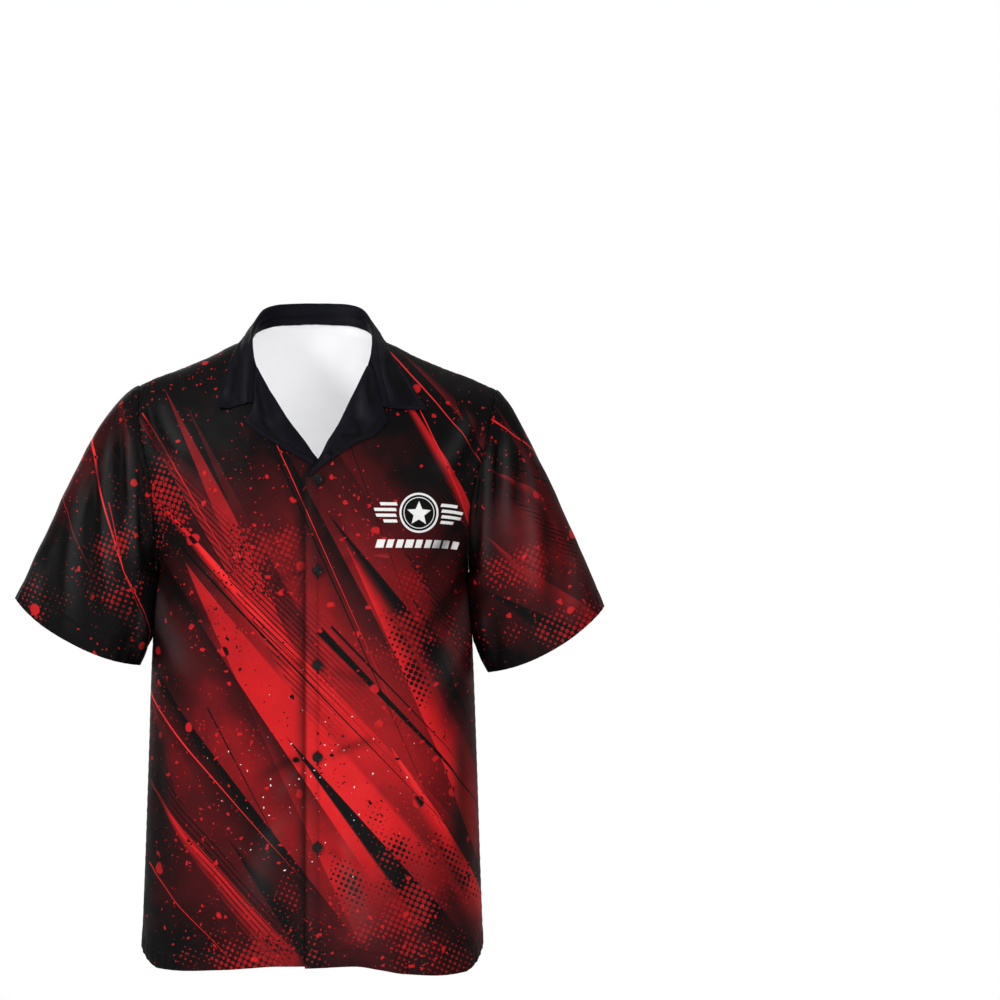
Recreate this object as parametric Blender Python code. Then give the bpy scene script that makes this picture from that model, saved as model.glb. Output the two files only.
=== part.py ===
"""Short-sleeved bowling shirt with a camp collar, filled out as if worn, open at neck, cuffs and hem.

X is the wearer's left, the front faces -Y and Z is up. The origin is the middle of the neck base.
Every size below is in millimetres; the meshes are written in metres.
"""

import math

import bpy
import numpy as np

MM = 0.001  # metres in a millimetre

# Cloth
WALL = 1.5  # thickness of a panel
SEAM_GAP = 0.3  # between two pieces at a seam
OVERLAP_RECESS = 2.1  # how far the under front lies inside the over front
LAPEL_WALL = 1.6
COLLAR_WALL = 1.6
PLY_LIFT = 2.2  # from a panel's outer face to the outer face of what lies on it

# Torso
ROUNDNESS = 2.4  # exponent of the sections, 2 is an ellipse
SHOULDER_DOME = 300.0  # height over which the shoulders round out to full depth
NECK_HALF = 71.0  # neck base, from the middle to the high point of the shoulder
NECK_HEIGHT = 9.0
BACK_NECK_RISE = 17.0  # middle of the back neck seam above the high points of the shoulders
BACK_NECK_CURVE = 0.65  # 0.5 is an ellipse, and more draws the seam in towards the middle
BACK_DOME_RISE = 41.0  # height of the back's dome over the neck base, above the seam it is cut on
SHOULDER_END = -46.0
ARMPIT = -262.0
HEM = -720.0
SHIRT_COLUMNS = (0, 0.09, 0.18, 0.27, 0.36, 0.45, 0.54, 0.63, 0.72, 0.81, 0.9, 0.96, 1)

# Overlap of the fronts: the wearer's left front lies over the right one
BUTTON_LINE = 8.0
BUTTON_HEIGHTS = (-156.0, -261.0, -370.0, -476.0, -580.0)
BUTTON_RADIUS = 5.9
BUTTON_THICKNESS = 2.6
BUTTON_SIDES = 24


def table(columns, rows):
    """A table with named columns, as a dictionary of arrays."""
    return dict(zip(columns.split(), np.array(rows, float).T))


# Half width at the side seams, and at the armholes above the armpits, and the half depths.
TORSO = table(
    "height right left front back",
    (
        (-720, 200.5, 199.5, 124, 120),
        (-630, 196.5, 196.0, 124, 119),
        (-540, 193.5, 193.0, 124, 118),
        (-450, 190.5, 190.0, 125, 117),
        (-333, 186.5, 185.5, 127, 118),
        (-262, 182.5, 181.5, 127, 120),
        (-240, 181.5, 181.0, 127, 121),
        (-200, 183.0, 182.5, 126, 122),
        (-160, 188.0, 190.0, 125, 122),
        (-125, 195.0, 199.0, 124, 122),
        (-100, 199.5, 205.0, 124, 122),
        (-72, 202.0, 210.0, 124, 122),
        (-51, 202.0, 214.0, 124, 122),
        (-46, 202.0, 214.0, 124, 122),
    ),
)
SHOULDER_TIPS = {"right": -46.0, "left": -51.0}
ARMHOLE_SHARE = 0.74  # depth of the armholes' upper edges as a share of the depth at the middle

# The line over the shoulder, from the neck out to the shoulder point.
SHOULDER = table(
    "out height",
    (
        (71, 9),
        (84, 5),
        (97, -0.5),
        (118, -11.5),
        (139, -20.5),
        (160, -29),
        (181, -36.5),
        (202, -46),
        (214, -51),
    ),
)

# Rows of the fronts: height at the side or armhole, and at the front edge or the roll line.
FRONT_ROWS = table(
    "outer inner",
    (
        (-720, -720),
        (-690, -690),
        (-640, -640),
        (-580, -580),
        (-520, -520),
        (-460, -460),
        (-400, -400),
        (-340, -338),
        (-296, -288),
        (ARMPIT, -244),
        (-255, -226),
        (-238, -202),
        (-208, -172),
        (-172, -136),
        (-136, -102),
        (-104, -68),
        (-80, -36),
        (-63, -14),
        (-52, 1),
        (-47.5, 7),
        (SHOULDER_END, NECK_HEIGHT),
    ),
)

# Front edges, mirrored to the panel's own side: below the neck the overlap, above it the roll line.
FRONT_EDGE = table(
    "height under over",
    (
        (-720, -22, -6),
        (-170, -22, -6),
        (-156, -22, -5.5),
        (-144, -17, 0),
        (-132, -7, 9),
        (-110, 11, 22),
        (-89, 27, 35),
        (-55, 49, 51),
        (-24, 65, 65),
        (-5, 69.5, 69.5),
        (NECK_HEIGHT, NECK_HALF, NECK_HALF),
    ),
)

# Hem heights by the share of the way round from the middle to the side seam.
HEMS = table(
    "share under over back",
    (
        (0.0, -717, -719, -712),
        (0.13, -717, -717, -712),
        (0.22, -719, -721, -712),
        (0.32, -721.5, -726, -711),
        (0.5, -723, -728.5, -709),
        (0.68, -721.5, -725.5, -704),
        (0.78, -715, -717, -700),
        (0.87, -706, -707, -695),
        (1.0, -693, -694, -693),
    ),
)

# Sleeves, a row for each section: the outer line over the arm, the inner line and the half depth.
SLEEVES = {
    "right": table(
        "out_x out_z in_x in_z depth",
        (
            (202, -46, 182.8, -262, 66),
            (212, -51.5, 183.3, -268, 66),
            (224, -62, 183.7, -276, 65),
            (244, -86, 184.4, -288, 64),
            (264, -120, 185.2, -301, 62),
            (285, -163, 186.1, -315, 60),
            (306, -208, 187.3, -331, 57),
            (327, -252, 192.0, -350, 54),
            (347, -294, 201.5, -372, 51),
        ),
    ),
    "left": table(
        "out_x out_z in_x in_z depth",
        (
            (214, -51, 181.8, -262, 66),
            (221, -58, 182.3, -268, 66),
            (231, -71, 182.7, -276, 65),
            (247, -99, 183.5, -289, 64),
            (263, -131, 184.3, -303, 62),
            (282, -170, 185.3, -318, 60),
            (301, -214, 186.5, -335, 57),
            (320, -257, 191.5, -356, 54),
            (339, -304, 203.5, -380, 51),
        ),
    ),
}
CUFF_DROOP = 14.0  # how far the middle of the cuff hangs below the line between its two ends

# Hanging folds of the sleeves: where round the sleeve (0 over the arm, 0.25 in front, 0.75 behind),
# width as a share of the way round, height out of the sleeve, and the stretch that they fill.
SLEEVE_FOLDS = table(
    "at width height start end",
    (
        (0.10, 0.030, -4.0, 0.15, 0.75),
        (0.17, 0.030, 3.5, 0.10, 0.85),
        (0.25, 0.028, -3.0, 0.05, 0.70),
        (0.34, 0.030, 3.0, 0.20, 0.95),
        (0.63, 0.032, 3.0, 0.15, 0.90),
        (0.74, 0.030, -3.5, 0.10, 0.70),
        (0.84, 0.032, 3.5, 0.10, 0.85),
        (0.91, 0.026, -3.0, 0.20, 0.80),
    ),
)

# Soft vertical folds of the body: x, half width, height out of the panel, and their lower and upper ends.
BODY_FOLDS = {
    "front": table(
        "x width height low high",
        (
            (-148, 17, 4.0, -760, -350),
            (-112, 16, -3.5, -760, -420),
            (-66, 18, 3.0, -760, -520),
            (52, 18, -3.0, -760, -500),
            (92, 17, 3.5, -760, -430),
            (140, 18, 4.0, -760, -330),
        ),
    ),
    "back": table(
        "x width height low high",
        (
            (-140, 18, 4.0, -750, -330),
            (-92, 20, -3.5, -750, -280),
            (-30, 22, 3.5, -750, -360),
            (34, 20, -3.0, -750, -300),
            (86, 20, 3.5, -750, -380),
            (146, 18, -3.5, -750, -300),
        ),
    ),
}

# Lapels, a row for each section from the gorge down to the end: the roll line and the free edge.
LAPELS = {
    "right": table(
        "roll_x roll_z edge_x edge_z",
        (
            (63.6, -28, 66.0, -32),
            (60.0, -35, 66.3, -46),
            (54.0, -46, 67.3, -66),
            (49.2, -55, 71.0, -79),
            (43.5, -64, 78.0, -90),
            (36.0, -76, 68.0, -98.5),
            (27.5, -89, 56.0, -107),
            (15.0, -105, 36.0, -119),
            (4.0, -119, 18.0, -129),
            (-2.5, -127.5, 5.0, -136),
        ),
    ),
    "left": table(
        "roll_x roll_z edge_x edge_z",
        (
            (64.8, -26, 71.0, -30),
            (61.0, -34, 76.0, -44),
            (56.0, -45, 80.0, -58),
            (51.4, -55, 81.5, -71),
            (46.6, -65, 86.0, -81),
            (41.5, -76, 89.0, -88),
            (34.8, -90, 74.0, -106),
            (27.6, -102, 54.0, -114),
            (20.4, -113, 36.0, -125),
            (13.6, -125, 22.0, -134),
            (6.6, -136, 10.0, -142.5),
            (0.6, -143.5, 1.6, -147),
        ),
    ),
}
LAPEL_BULGE = 3.0  # how far the middle of a lapel stands off the front

# Collar, a row for each section. Each goes from its seam over the roll to the free edge.
COLLAR_ENDS = {
    "right": table(
        "seam_x seam_z roll_x roll_z edge_x edge_z",
        (
            (68.4, -67, 72.5, -67.2, 109, -75),
            (67.4, -50, 71.5, -50, 107, -62),
            (66.9, -35, 70.5, -34, 104, -48),
            (67.0, -20, 70.0, -17, 98, -32),
            (68.6, -6, 70.2, -1, 92, -15),
        ),
    ),
    "left": table(
        "seam_x seam_z roll_x roll_z edge_x edge_z",
        (
            (82.6, -72, 86.5, -72.5, 133, -78),
            (80.6, -58, 84.0, -58, 124, -64),
            (74.0, -36, 77.5, -35, 112, -45),
            (69.0, -20, 72.0, -17, 101, -29),
            (68.6, -6, 70.2, -1, 91, -13),
        ),
    ),
}
COLLAR_NECK = table(
    "seam_x seam_y seam_z roll_x roll_y roll_z edge_x edge_y edge_z",
    (
        (69.6, -19, 8.4, 69.0, -20, 13, 87, -22, 0),
        (69.3, -3, 11.4, 67.2, -3, 23, 82, -3, 7),
        (65.8, 12.5, 13.6, 63.6, 13, 32.8, 81, 16, 8),
        (56.5, 26.6, 18.2, 55.4, 29.5, 44, 74, 40, 9),
        (41.0, 36.9, 22.7, 40.5, 41.0, 50, 52, 54, 10),
        (21.5, 43.1, 25.6, 21.4, 47.6, 51.6, 27, 63, 10.5),
        (0.0, 45.1, 26.8, 0.0, 50.0, 52.2, 0, 66, 10.5),
    ),
)
COLLAR_COLUMNS = 57
COLLAR_ROLL = 5.5  # distance between the stand and the fall at the roll
COLLAR_BULGE = 2.5
COLLAR_LIFTS = {"seam": 0.0, "roll": 3.5, "edge": 1.0}  # of its ends, over a ply that lies flat
FALL_SHARES = (0.2, 0.4, 0.6, 0.8, 1.0)
LAPEL_SHARES = (0, 0.12, 0.3, 0.5, 0.7, 0.88, 1)

CLOTH_PRINT = ("printed_cloth", (0.16, 0.012, 0.014, 1.0), 0.62)
CLOTH_PLAIN = ("plain_cloth", (0.012, 0.012, 0.018, 1.0), 0.7)
BUTTON_RESIN = ("button_resin", (0.015, 0.015, 0.018, 1.0), 0.3)


def clear_scene():
    for thing in list(bpy.data.objects):
        bpy.data.objects.remove(thing, do_unlink=True)


def material(name, colour, roughness):
    made = bpy.data.materials.get(name)
    if made is None:
        made = bpy.data.materials.new(name)
        made.use_nodes = True
        shader = made.node_tree.nodes["Principled BSDF"]
        shader.inputs["Base Color"].default_value = colour
        shader.inputs["Roughness"].default_value = roughness
        made.diffuse_color = colour
    return made


# Curves through the tables


def read(data, key, column, at):
    """A column read at a key, along a smooth curve that never overshoots its rows."""
    order = np.argsort(data[key])
    keys = data[key][order]
    values = data[column][order]
    steps = np.diff(keys)
    slopes = np.diff(values) / steps
    tangents = np.concatenate([slopes[:1], np.zeros(len(slopes) - 1), slopes[-1:]])
    same = slopes[:-1] * slopes[1:] > 0
    before, after = slopes[:-1][same], slopes[1:][same]
    tangents[1:-1][same] = 2 * before * after / (before + after)
    at = np.clip(np.asarray(at, float), keys[0], keys[-1])
    cell = np.clip(np.searchsorted(keys, at, side="right") - 1, 0, len(steps) - 1)
    t = (at - keys[cell]) / steps[cell]
    return (
        (1 + 2 * t) * (1 - t) ** 2 * values[cell]
        + t * (1 - t) ** 2 * steps[cell] * tangents[cell]
        + t * t * (3 - 2 * t) * values[cell + 1]
        + t * t * (t - 1) * steps[cell] * tangents[cell + 1]
    )


def through(points, count):
    """Points spaced evenly in row number along a Catmull-Rom curve through rows of points."""
    padded = np.concatenate([2 * points[:1] - points[1:2], points, 2 * points[-1:] - points[-2:-1]])
    place = np.linspace(0, len(points) - 1, count)
    cell = np.minimum(place.astype(int), len(points) - 2)
    t = (place - cell).reshape((-1,) + (1,) * (points.ndim - 1))
    a, b, c, d = (padded[cell + i] for i in range(4))
    return 0.5 * (2 * b + (c - a) * t + (2 * a - 5 * b + 4 * c - d) * t**2 + (3 * b - a - 3 * c + d) * t**3)


def ease(value):
    value = np.clip(value, 0, 1)
    return value * value * (3 - 2 * value)


def signed_power(value, power):
    return np.sign(value) * np.abs(value) ** power


# The shirt's surface


def side_name(x):
    return "left" if x > 0 else "right"


def shoulder_line(x, back):
    """Height of the line over the shoulders, carried on over the neck."""
    out = np.abs(x)
    line = read(SHOULDER, "out", "height", out)
    inside = np.clip(1 - (out / NECK_HALF) ** 2, 0, 1)
    rise = BACK_DOME_RISE * inside**0.8 if back else 0 * inside
    return line + rise


def reach_at(x_sign, height):
    """Half width of the whole section at a height, with the armholes filled in."""
    side = side_name(x_sign)
    tip = SHOULDER_TIPS[side]
    down = np.clip((tip - height) / (tip - ARMPIT), 0, 1)
    share = ARMHOLE_SHARE * (1 - down**3) ** 0.6
    edge = read(TORSO, "height", side, height)
    return edge / (1 - share**ROUNDNESS) ** (1 / ROUNDNESS)


def depth_at(x, height, back):
    """Distance of the shirt's outer face from the plane of the side seams."""
    drop = np.clip((shoulder_line(x, back) - height) / SHOULDER_DOME, 0, 1)
    dome = np.sqrt(1 - (1 - drop) ** 2)
    full = read(TORSO, "height", "back" if back else "front", height)
    reach = np.where(x > 0, reach_at(1, height), reach_at(-1, height))
    across = np.clip(np.abs(x) / reach, 0, 1)
    return full * dome * (1 - across**ROUNDNESS) ** (1 / ROUNDNESS)


def half_row(side, panel, inner_x, inner_z, outer_z, shares):
    """One row of half a panel, from its inner end out to the side seam or the armhole."""
    sign = 1 if side == "left" else -1
    back = panel == "back"
    outer_x = read(TORSO, "height", side, outer_z)
    power = ROUNDNESS / 2
    inner_angle = math.asin(signed_power(inner_x / reach_at(sign, np.array(inner_z)), power))
    outer_angle = math.asin(min(1.0, (outer_x / reach_at(sign, np.array(outer_z))) ** power))
    across = signed_power(np.sin(inner_angle + (outer_angle - inner_angle) * shares), 1 / power)
    lift = (outer_z - HEM) / (SHOULDER_TIPS[side] - HEM)
    level = inner_z + (outer_z - inner_z) * shares
    drop = (shoulder_top(np.array(inner_x), back) - inner_z) * (1 - shares)
    drop = drop + (shoulder_top(outer_x, back) - outer_z) * shares
    hem = np.clip((ARMPIT - outer_z) / (ARMPIT - HEM), 0, 1) ** 2 * (read(HEMS, "share", panel, shares) - HEM)
    height = level
    for _ in range(4):
        x = reach_at(sign, height) * across
        height = (1 - lift) * level + lift * (shoulder_top(x, back) - drop) + hem
    return np.stack([sign * x, depth_at(sign * x, height, back) * (1 if back else -1), height], axis=-1)


def shoulder_top(x, back):
    """Height of a panel's upper edge: the shoulder seam, and the back neck seam between them."""
    out = np.abs(x)
    inside = np.clip(1 - (out / NECK_HALF) ** 2, 0, 1)
    neck = BACK_NECK_RISE * inside**BACK_NECK_CURVE if back else 0 * out
    return read(SHOULDER, "out", "height", out) + neck


def folds_at(x, height, where):
    """How far the soft folds move the cloth out of its smooth form, clear of the buttoned overlap."""
    data = BODY_FOLDS[where]
    total = np.zeros(np.shape(x))
    for i in range(len(data["x"])):
        across = np.exp(-(((x - data["x"][i]) / data["width"][i]) ** 2))
        along = 1 - ease((height - data["low"][i]) / (data["high"][i] - data["low"][i]))
        total = total + data["height"][i] * across * along
    if where == "front":
        total = total * ease((np.abs(x - BUTTON_LINE) - 28) / 30)
    return total


def outer_heights(side):
    """Heights of the rows at the side seam and the armhole, the last at this side's shoulder point."""
    heights = FRONT_ROWS["outer"]
    stretch = (SHOULDER_TIPS[side] - ARMPIT) / (SHOULDER_END - ARMPIT)
    return np.where(heights > ARMPIT, ARMPIT + (heights - ARMPIT) * stretch, heights)


def front_grid(side):
    """Outer face of a front, rows from the hem up to the shoulder seam."""
    cut = "over" if side == "left" else "under"
    shares = np.array(SHIRT_COLUMNS)
    rows = []
    for outer_z, inner_z in zip(outer_heights(side), FRONT_ROWS["inner"]):
        inner_x = float(read(FRONT_EDGE, "height", cut, inner_z))
        rows.append(half_row(side, cut, inner_x, inner_z, outer_z, shares))
    grid = np.array(rows)
    if side == "right":
        grid[..., 1] += OVERLAP_RECESS * ease((grid[..., 0] + 75) / 50)
    return grid


def back_grid():
    """Outer face of the back, rows from the hem up to the shoulder and neck seams."""
    shares = np.array(SHIRT_COLUMNS)
    neck_seam = NECK_HEIGHT + BACK_NECK_RISE
    halves = []
    for side in ("right", "left"):
        rows = []
        for outer_z in outer_heights(side):
            inner_z = HEM + (outer_z - HEM) / (SHOULDER_TIPS[side] - HEM) * (neck_seam - HEM)
            rows.append(half_row(side, "back", 0.0, inner_z, outer_z, shares))
        halves.append(np.array(rows))
    right, left = halves
    left[:, 0] = (left[:, 0] + right[:, 0]) / 2
    return np.concatenate([right[:, :0:-1], left], axis=1)


# Walls from grids of points


def normals_of(grid, closed=False):
    """Unit normals of a grid of points, towards the side from which columns run left to right going up."""
    if closed:
        around = np.roll(grid, -1, axis=1) - np.roll(grid, 1, axis=1)
    else:
        around = np.gradient(grid, axis=1)
    along = np.gradient(grid, axis=0)
    normal = np.cross(around, along)
    return normal / np.linalg.norm(normal, axis=-1, keepdims=True)


def pull_in(grid, amount, edges):
    """Moves the named edges of a grid back into the cloth, to leave room at a seam."""
    grid = grid.copy()
    picks = {
        "first": (np.s_[:, 0], np.s_[:, 1]),
        "last": (np.s_[:, -1], np.s_[:, -2]),
        "top": (np.s_[-1], np.s_[-2]),
        "bottom": (np.s_[0], np.s_[1]),
    }
    for edge in edges:
        outer, inner = picks[edge]
        step = grid[inner] - grid[outer]
        grid[outer] += step * (amount / np.linalg.norm(step, axis=-1, keepdims=True))
    return grid


def solid(name, outer, inner, finish, closed=False):
    """One closed body between two grids of points."""
    rows, columns = outer.shape[:2]
    points = np.concatenate([outer.reshape(-1, 3), inner.reshape(-1, 3)])
    shift = rows * columns
    faces = []

    def at(row, column):
        return row * columns + column % columns

    spans = columns if closed else columns - 1
    for row in range(rows - 1):
        for column in range(spans):
            quad = (at(row, column), at(row, column + 1), at(row + 1, column + 1), at(row + 1, column))
            faces.append(quad)
            faces.append(tuple(shift + corner for corner in reversed(quad)))
    for column in range(spans):
        a, b = at(0, column), at(0, column + 1)
        faces.append((b, a, shift + a, shift + b))
        a, b = at(rows - 1, column), at(rows - 1, column + 1)
        faces.append((a, b, shift + b, shift + a))
    if not closed:
        for row in range(rows - 1):
            a, b = at(row, 0), at(row + 1, 0)
            faces.append((a, b, shift + b, shift + a))
            a, b = at(row, columns - 1), at(row + 1, columns - 1)
            faces.append((b, a, shift + a, shift + b))
    mesh = bpy.data.meshes.new(name)
    mesh.from_pydata((points * MM).tolist(), [], faces)
    mesh.materials.append(material(*finish))
    mesh.validate()
    mesh.update()
    mesh.shade_smooth()
    mesh.set_sharp_from_angle(angle=math.radians(50))
    made = bpy.data.objects.new(name, mesh)
    bpy.context.scene.collection.objects.link(made)
    return made


def make_front(side):
    cut = "over" if side == "left" else "under"
    grid = front_grid(side)
    if side == "right":
        grid = grid[:, ::-1]
    normal = normals_of(grid)
    seam = np.s_[:, -1] if side == "left" else np.s_[:, 0]
    below = grid[seam][:, 2] <= ARMPIT + 1
    normal[seam][below, 1] = 0
    normal[-1, :, 1] = 0
    normal /= np.linalg.norm(normal, axis=-1, keepdims=True)
    grid = grid + normal * (edge_fade(grid.shape[:2]) * folds_at(grid[..., 0], grid[..., 2], "front"))[..., None]
    edges = ("last", "top") if side == "left" else ("first", "top")
    grid = pull_in(grid, SEAM_GAP / 2, edges)
    return solid(f"front_{side}_{cut}", grid, grid - normal * WALL, CLOTH_PRINT)


def edge_fade(shape):
    """1 over a panel, falling to 0 at its first and last column, where the seams are."""
    place = np.linspace(0, 1, shape[1])
    return np.ones(shape) * np.minimum(ease(place * 5), ease((1 - place) * 5))


def make_back():
    grid = back_grid()[:, ::-1]
    normal = normals_of(grid)
    below = grid[:, 0, 2] <= ARMPIT + 1
    for column in (0, -1):
        normal[below, column, 1] = 0
    shoulder = np.abs(grid[-1, :, 0]) >= NECK_HALF - 1
    normal[-1, shoulder, 1] = 0
    normal /= np.linalg.norm(normal, axis=-1, keepdims=True)
    grid = grid + normal * (edge_fade(grid.shape[:2]) * folds_at(grid[..., 0], grid[..., 2], "back"))[..., None]
    grid = pull_in(grid, SEAM_GAP / 2, ("first", "last", "top"))
    return solid("back", grid, grid - normal * WALL, CLOTH_PRINT)


def armhole_turns(side):
    """Where round the sleeve the rows of the body panels end: 0 over the arm, 0.25 in front, 0.75 behind."""
    heights = outer_heights(side)
    heights = heights[heights >= ARMPIT]
    middle = (heights[0] + heights[-1]) / 2
    half = (heights[-1] - heights[0]) / 2
    front = np.arccos(np.clip((heights[::-1] - middle) / half, -1, 1)) / (2 * np.pi)
    return np.concatenate([front, 1 - front[-2:0:-1]])


def armhole_ring(side, turns):
    """The armhole, with the sleeve's seam just outside it."""
    sign = 1 if side == "left" else -1
    top = SHOULDER_TIPS[side]
    middle = (top + ARMPIT) / 2
    z = middle + (top - middle) * np.cos(2 * np.pi * turns)
    x = read(TORSO, "height", side, z)
    front = depth_at(sign * x, z, False)
    back = depth_at(sign * x, z, True)
    y = np.where(turns <= 0.5, -front, back)
    return np.stack([x + SEAM_GAP, y, z], axis=-1)


def sleeve_grid(side):
    """Outer face of a sleeve, rows from the armhole down to the cuff, for the wearer's left arm."""
    data = SLEEVES[side]
    turns = armhole_turns(side)
    angle = 2 * np.pi * turns
    armhole = armhole_ring(side, turns)
    count = len(data["depth"])
    rows = []
    for i in range(count):
        outer = np.array([data["out_x"][i], 0, data["out_z"][i]])
        inner = np.array([data["in_x"][i], 0, data["in_z"][i]])
        axis = np.array([-(outer - inner)[2], 0, (outer - inner)[0]])
        axis = -axis / np.linalg.norm(axis)
        cosine = signed_power(np.cos(angle), 0.92)[:, None]
        sine = signed_power(np.sin(angle), 0.92)[:, None]
        ring = (outer + inner) / 2 + (outer - inner) / 2 * cosine
        ring = ring + np.array([0, -data["depth"][i], 0]) * sine
        along = i / (count - 1)
        ring = ring + axis * (CUFF_DROOP * along**1.5 * sine**2)
        if i == 0:
            first = ring
        ring = ring + (armhole - first) * (1 - ease(along / 0.5))
        rows.append(ring)
    return np.array(rows)


def sleeve_folds(side):
    """How far the hanging folds move the sleeve out of its smooth form."""
    data = SLEEVE_FOLDS
    along = np.linspace(0, 1, len(SLEEVES[side]["depth"]))[:, None]
    turns = armhole_turns(side)[None, :]
    total = 0
    for i in range(len(data["at"])):
        away = (turns - data["at"][i] + 0.5) % 1 - 0.5
        middle = (data["start"][i] + data["end"][i]) / 2
        half = (data["end"][i] - data["start"][i]) / 2
        stretch = np.clip(1 - ((along - middle) / half) ** 2, 0, 1)
        total = total + data["height"][i] * np.exp(-((away / data["width"][i]) ** 2)) * stretch
    return total


def make_sleeve(side):
    grid = sleeve_grid(side)[::-1]
    moves = sleeve_folds(side)[::-1]
    if side == "right":
        grid = grid * (-1, 1, 1)
    else:
        grid = grid[:, ::-1]
        moves = moves[:, ::-1]
    normal = normals_of(grid, closed=True)
    # The seam end is cut along the armhole, so that its wall stays outside the body panels.
    outward = 1 if side == "left" else -1
    normal[-1, :, 0] = outward * np.minimum(outward * normal[-1, :, 0], 0)
    normal /= np.linalg.norm(normal, axis=-1, keepdims=True)
    grid = grid + normal * moves[..., None]
    return solid(f"sleeve_{side}", grid, grid - normal * WALL, CLOTH_PRINT, closed=True)


def on_front(x, z, lift):
    """A point a given distance off the front's outer face."""
    step = 0.5
    y = -depth_at(x, z, False)
    slope_x = (-depth_at(x + step, z, False) + depth_at(x - step, z, False)) / (2 * step)
    slope_z = (-depth_at(x, z + step, False) + depth_at(x, z - step, False)) / (2 * step)
    normal = np.stack([slope_x, -np.ones_like(y), slope_z], axis=-1)
    normal /= np.linalg.norm(normal, axis=-1, keepdims=True)
    return np.stack([x, y, z], axis=-1) + normal * np.asarray(lift)[..., None]


def make_lapel(side):
    sign = 1 if side == "left" else -1
    data = LAPELS[side]
    count = 2 * len(data["roll_x"]) - 1
    roll = through(np.stack([data["roll_x"], data["roll_z"]], axis=-1), count)
    edge = through(np.stack([data["edge_x"], data["edge_z"]], axis=-1), count)
    shares = np.array(LAPEL_SHARES)
    flat = roll[:, None] * (1 - shares)[None, :, None] + edge[:, None] * shares[None, :, None]
    width = np.linalg.norm(edge - roll, axis=-1)[:, None]
    lift = PLY_LIFT + LAPEL_BULGE * np.sin(np.pi * shares) ** 0.8 * np.clip(width / 30, 0, 1)
    grid = on_front(sign * flat[..., 0], flat[..., 1], lift)
    if side == "right":
        grid = grid[:, ::-1]
    grid = grid[::-1]
    normal = normals_of(grid)
    return solid(f"lapel_{side}", grid, grid - normal * LAPEL_WALL, CLOTH_PLAIN)


def clear_of_shirt(points, lift):
    """Moves points that are nearer to the shirt than the lift straight out from it."""
    x, y, z = points[..., 0], points[..., 1], points[..., 2]
    moved = points.copy()
    for back in (False, True):
        side = y > 0 if back else y <= 0
        centre = shoulder_line(x, back) - SHOULDER_DOME
        full = read(TORSO, "height", "back" if back else "front", z)
        reach = np.where(x > 0, reach_at(1, z), reach_at(-1, z))
        width = full * (1 - np.clip(np.abs(x) / reach, 0, 1) ** ROUNDNESS) ** (1 / ROUNDNESS)
        up = (z - centre) / SHOULDER_DOME
        out = y / width
        level = np.sqrt(up**2 + out**2)
        slope = np.sqrt((up / SHOULDER_DOME) ** 2 + (out / width) ** 2) / level
        wanted = 1 + lift * slope
        scale = np.where(side & (level < wanted) & (z > centre), wanted / level, 1)
        moved[..., 1] = np.where(side, y * scale, moved[..., 1])
        moved[..., 2] = np.where(side, centre + (z - centre) * scale, moved[..., 2])
    return moved


def collar_sections():
    """Seam, roll and edge points of the collar, from its right end round the neck to its left end."""
    halves = []
    for side, sign in (("right", -1), ("left", 1)):
        data = COLLAR_ENDS[side]
        ends = []
        for part, lift in COLLAR_LIFTS.items():
            x = sign * data[part + "_x"]
            ends.append(on_front(x, data[part + "_z"], np.full(len(x), PLY_LIFT + lift)))
        front = np.stack(ends, axis=1)
        neck = np.stack(
            [
                np.stack([COLLAR_NECK[f"{part}_{axis}"] for axis in "xyz"], axis=-1)
                for part in COLLAR_LIFTS
            ],
            axis=1,
        )
        halves.append(np.concatenate([front, neck * (sign, 1, 1)]))
    return np.concatenate([halves[0], halves[1][-2::-1]])


def make_collar():
    sections = through(collar_sections(), COLLAR_COLUMNS)
    seam, roll, edge = sections[:, 0], sections[:, 1], sections[:, 2]
    outward = edge - roll
    outward[:, 2] *= 0.25
    outward /= np.linalg.norm(outward, axis=-1, keepdims=True)
    rise = np.linalg.norm(roll - seam, axis=-1, keepdims=True)
    width = np.minimum(COLLAR_ROLL, 1.5 + rise * 0.4)
    down = np.array([0, 0, 1]) * width * 0.5
    over = roll + outward * width * 0.5
    past = roll + outward * width - down
    before = roll - down * np.clip(rise / 15, 0, 1)
    columns = [seam, (seam + before) / 2, before, over, past]
    for share in FALL_SHARES:
        point = past + (edge - past) * share
        columns.append(point + outward * COLLAR_BULGE * math.sin(math.pi * share))
    grid = np.array(columns)
    fall = clear_of_shirt(grid[3:], PLY_LIFT)
    grid = np.concatenate([grid[:3], fall])
    normal = normals_of(grid)
    middle = grid.shape[1] // 2
    if normal[-2, middle, 1] < 0:
        normal = -normal
    inner = grid - normal * COLLAR_WALL
    return solid("collar", grid, inner, CLOTH_PLAIN)


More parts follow.
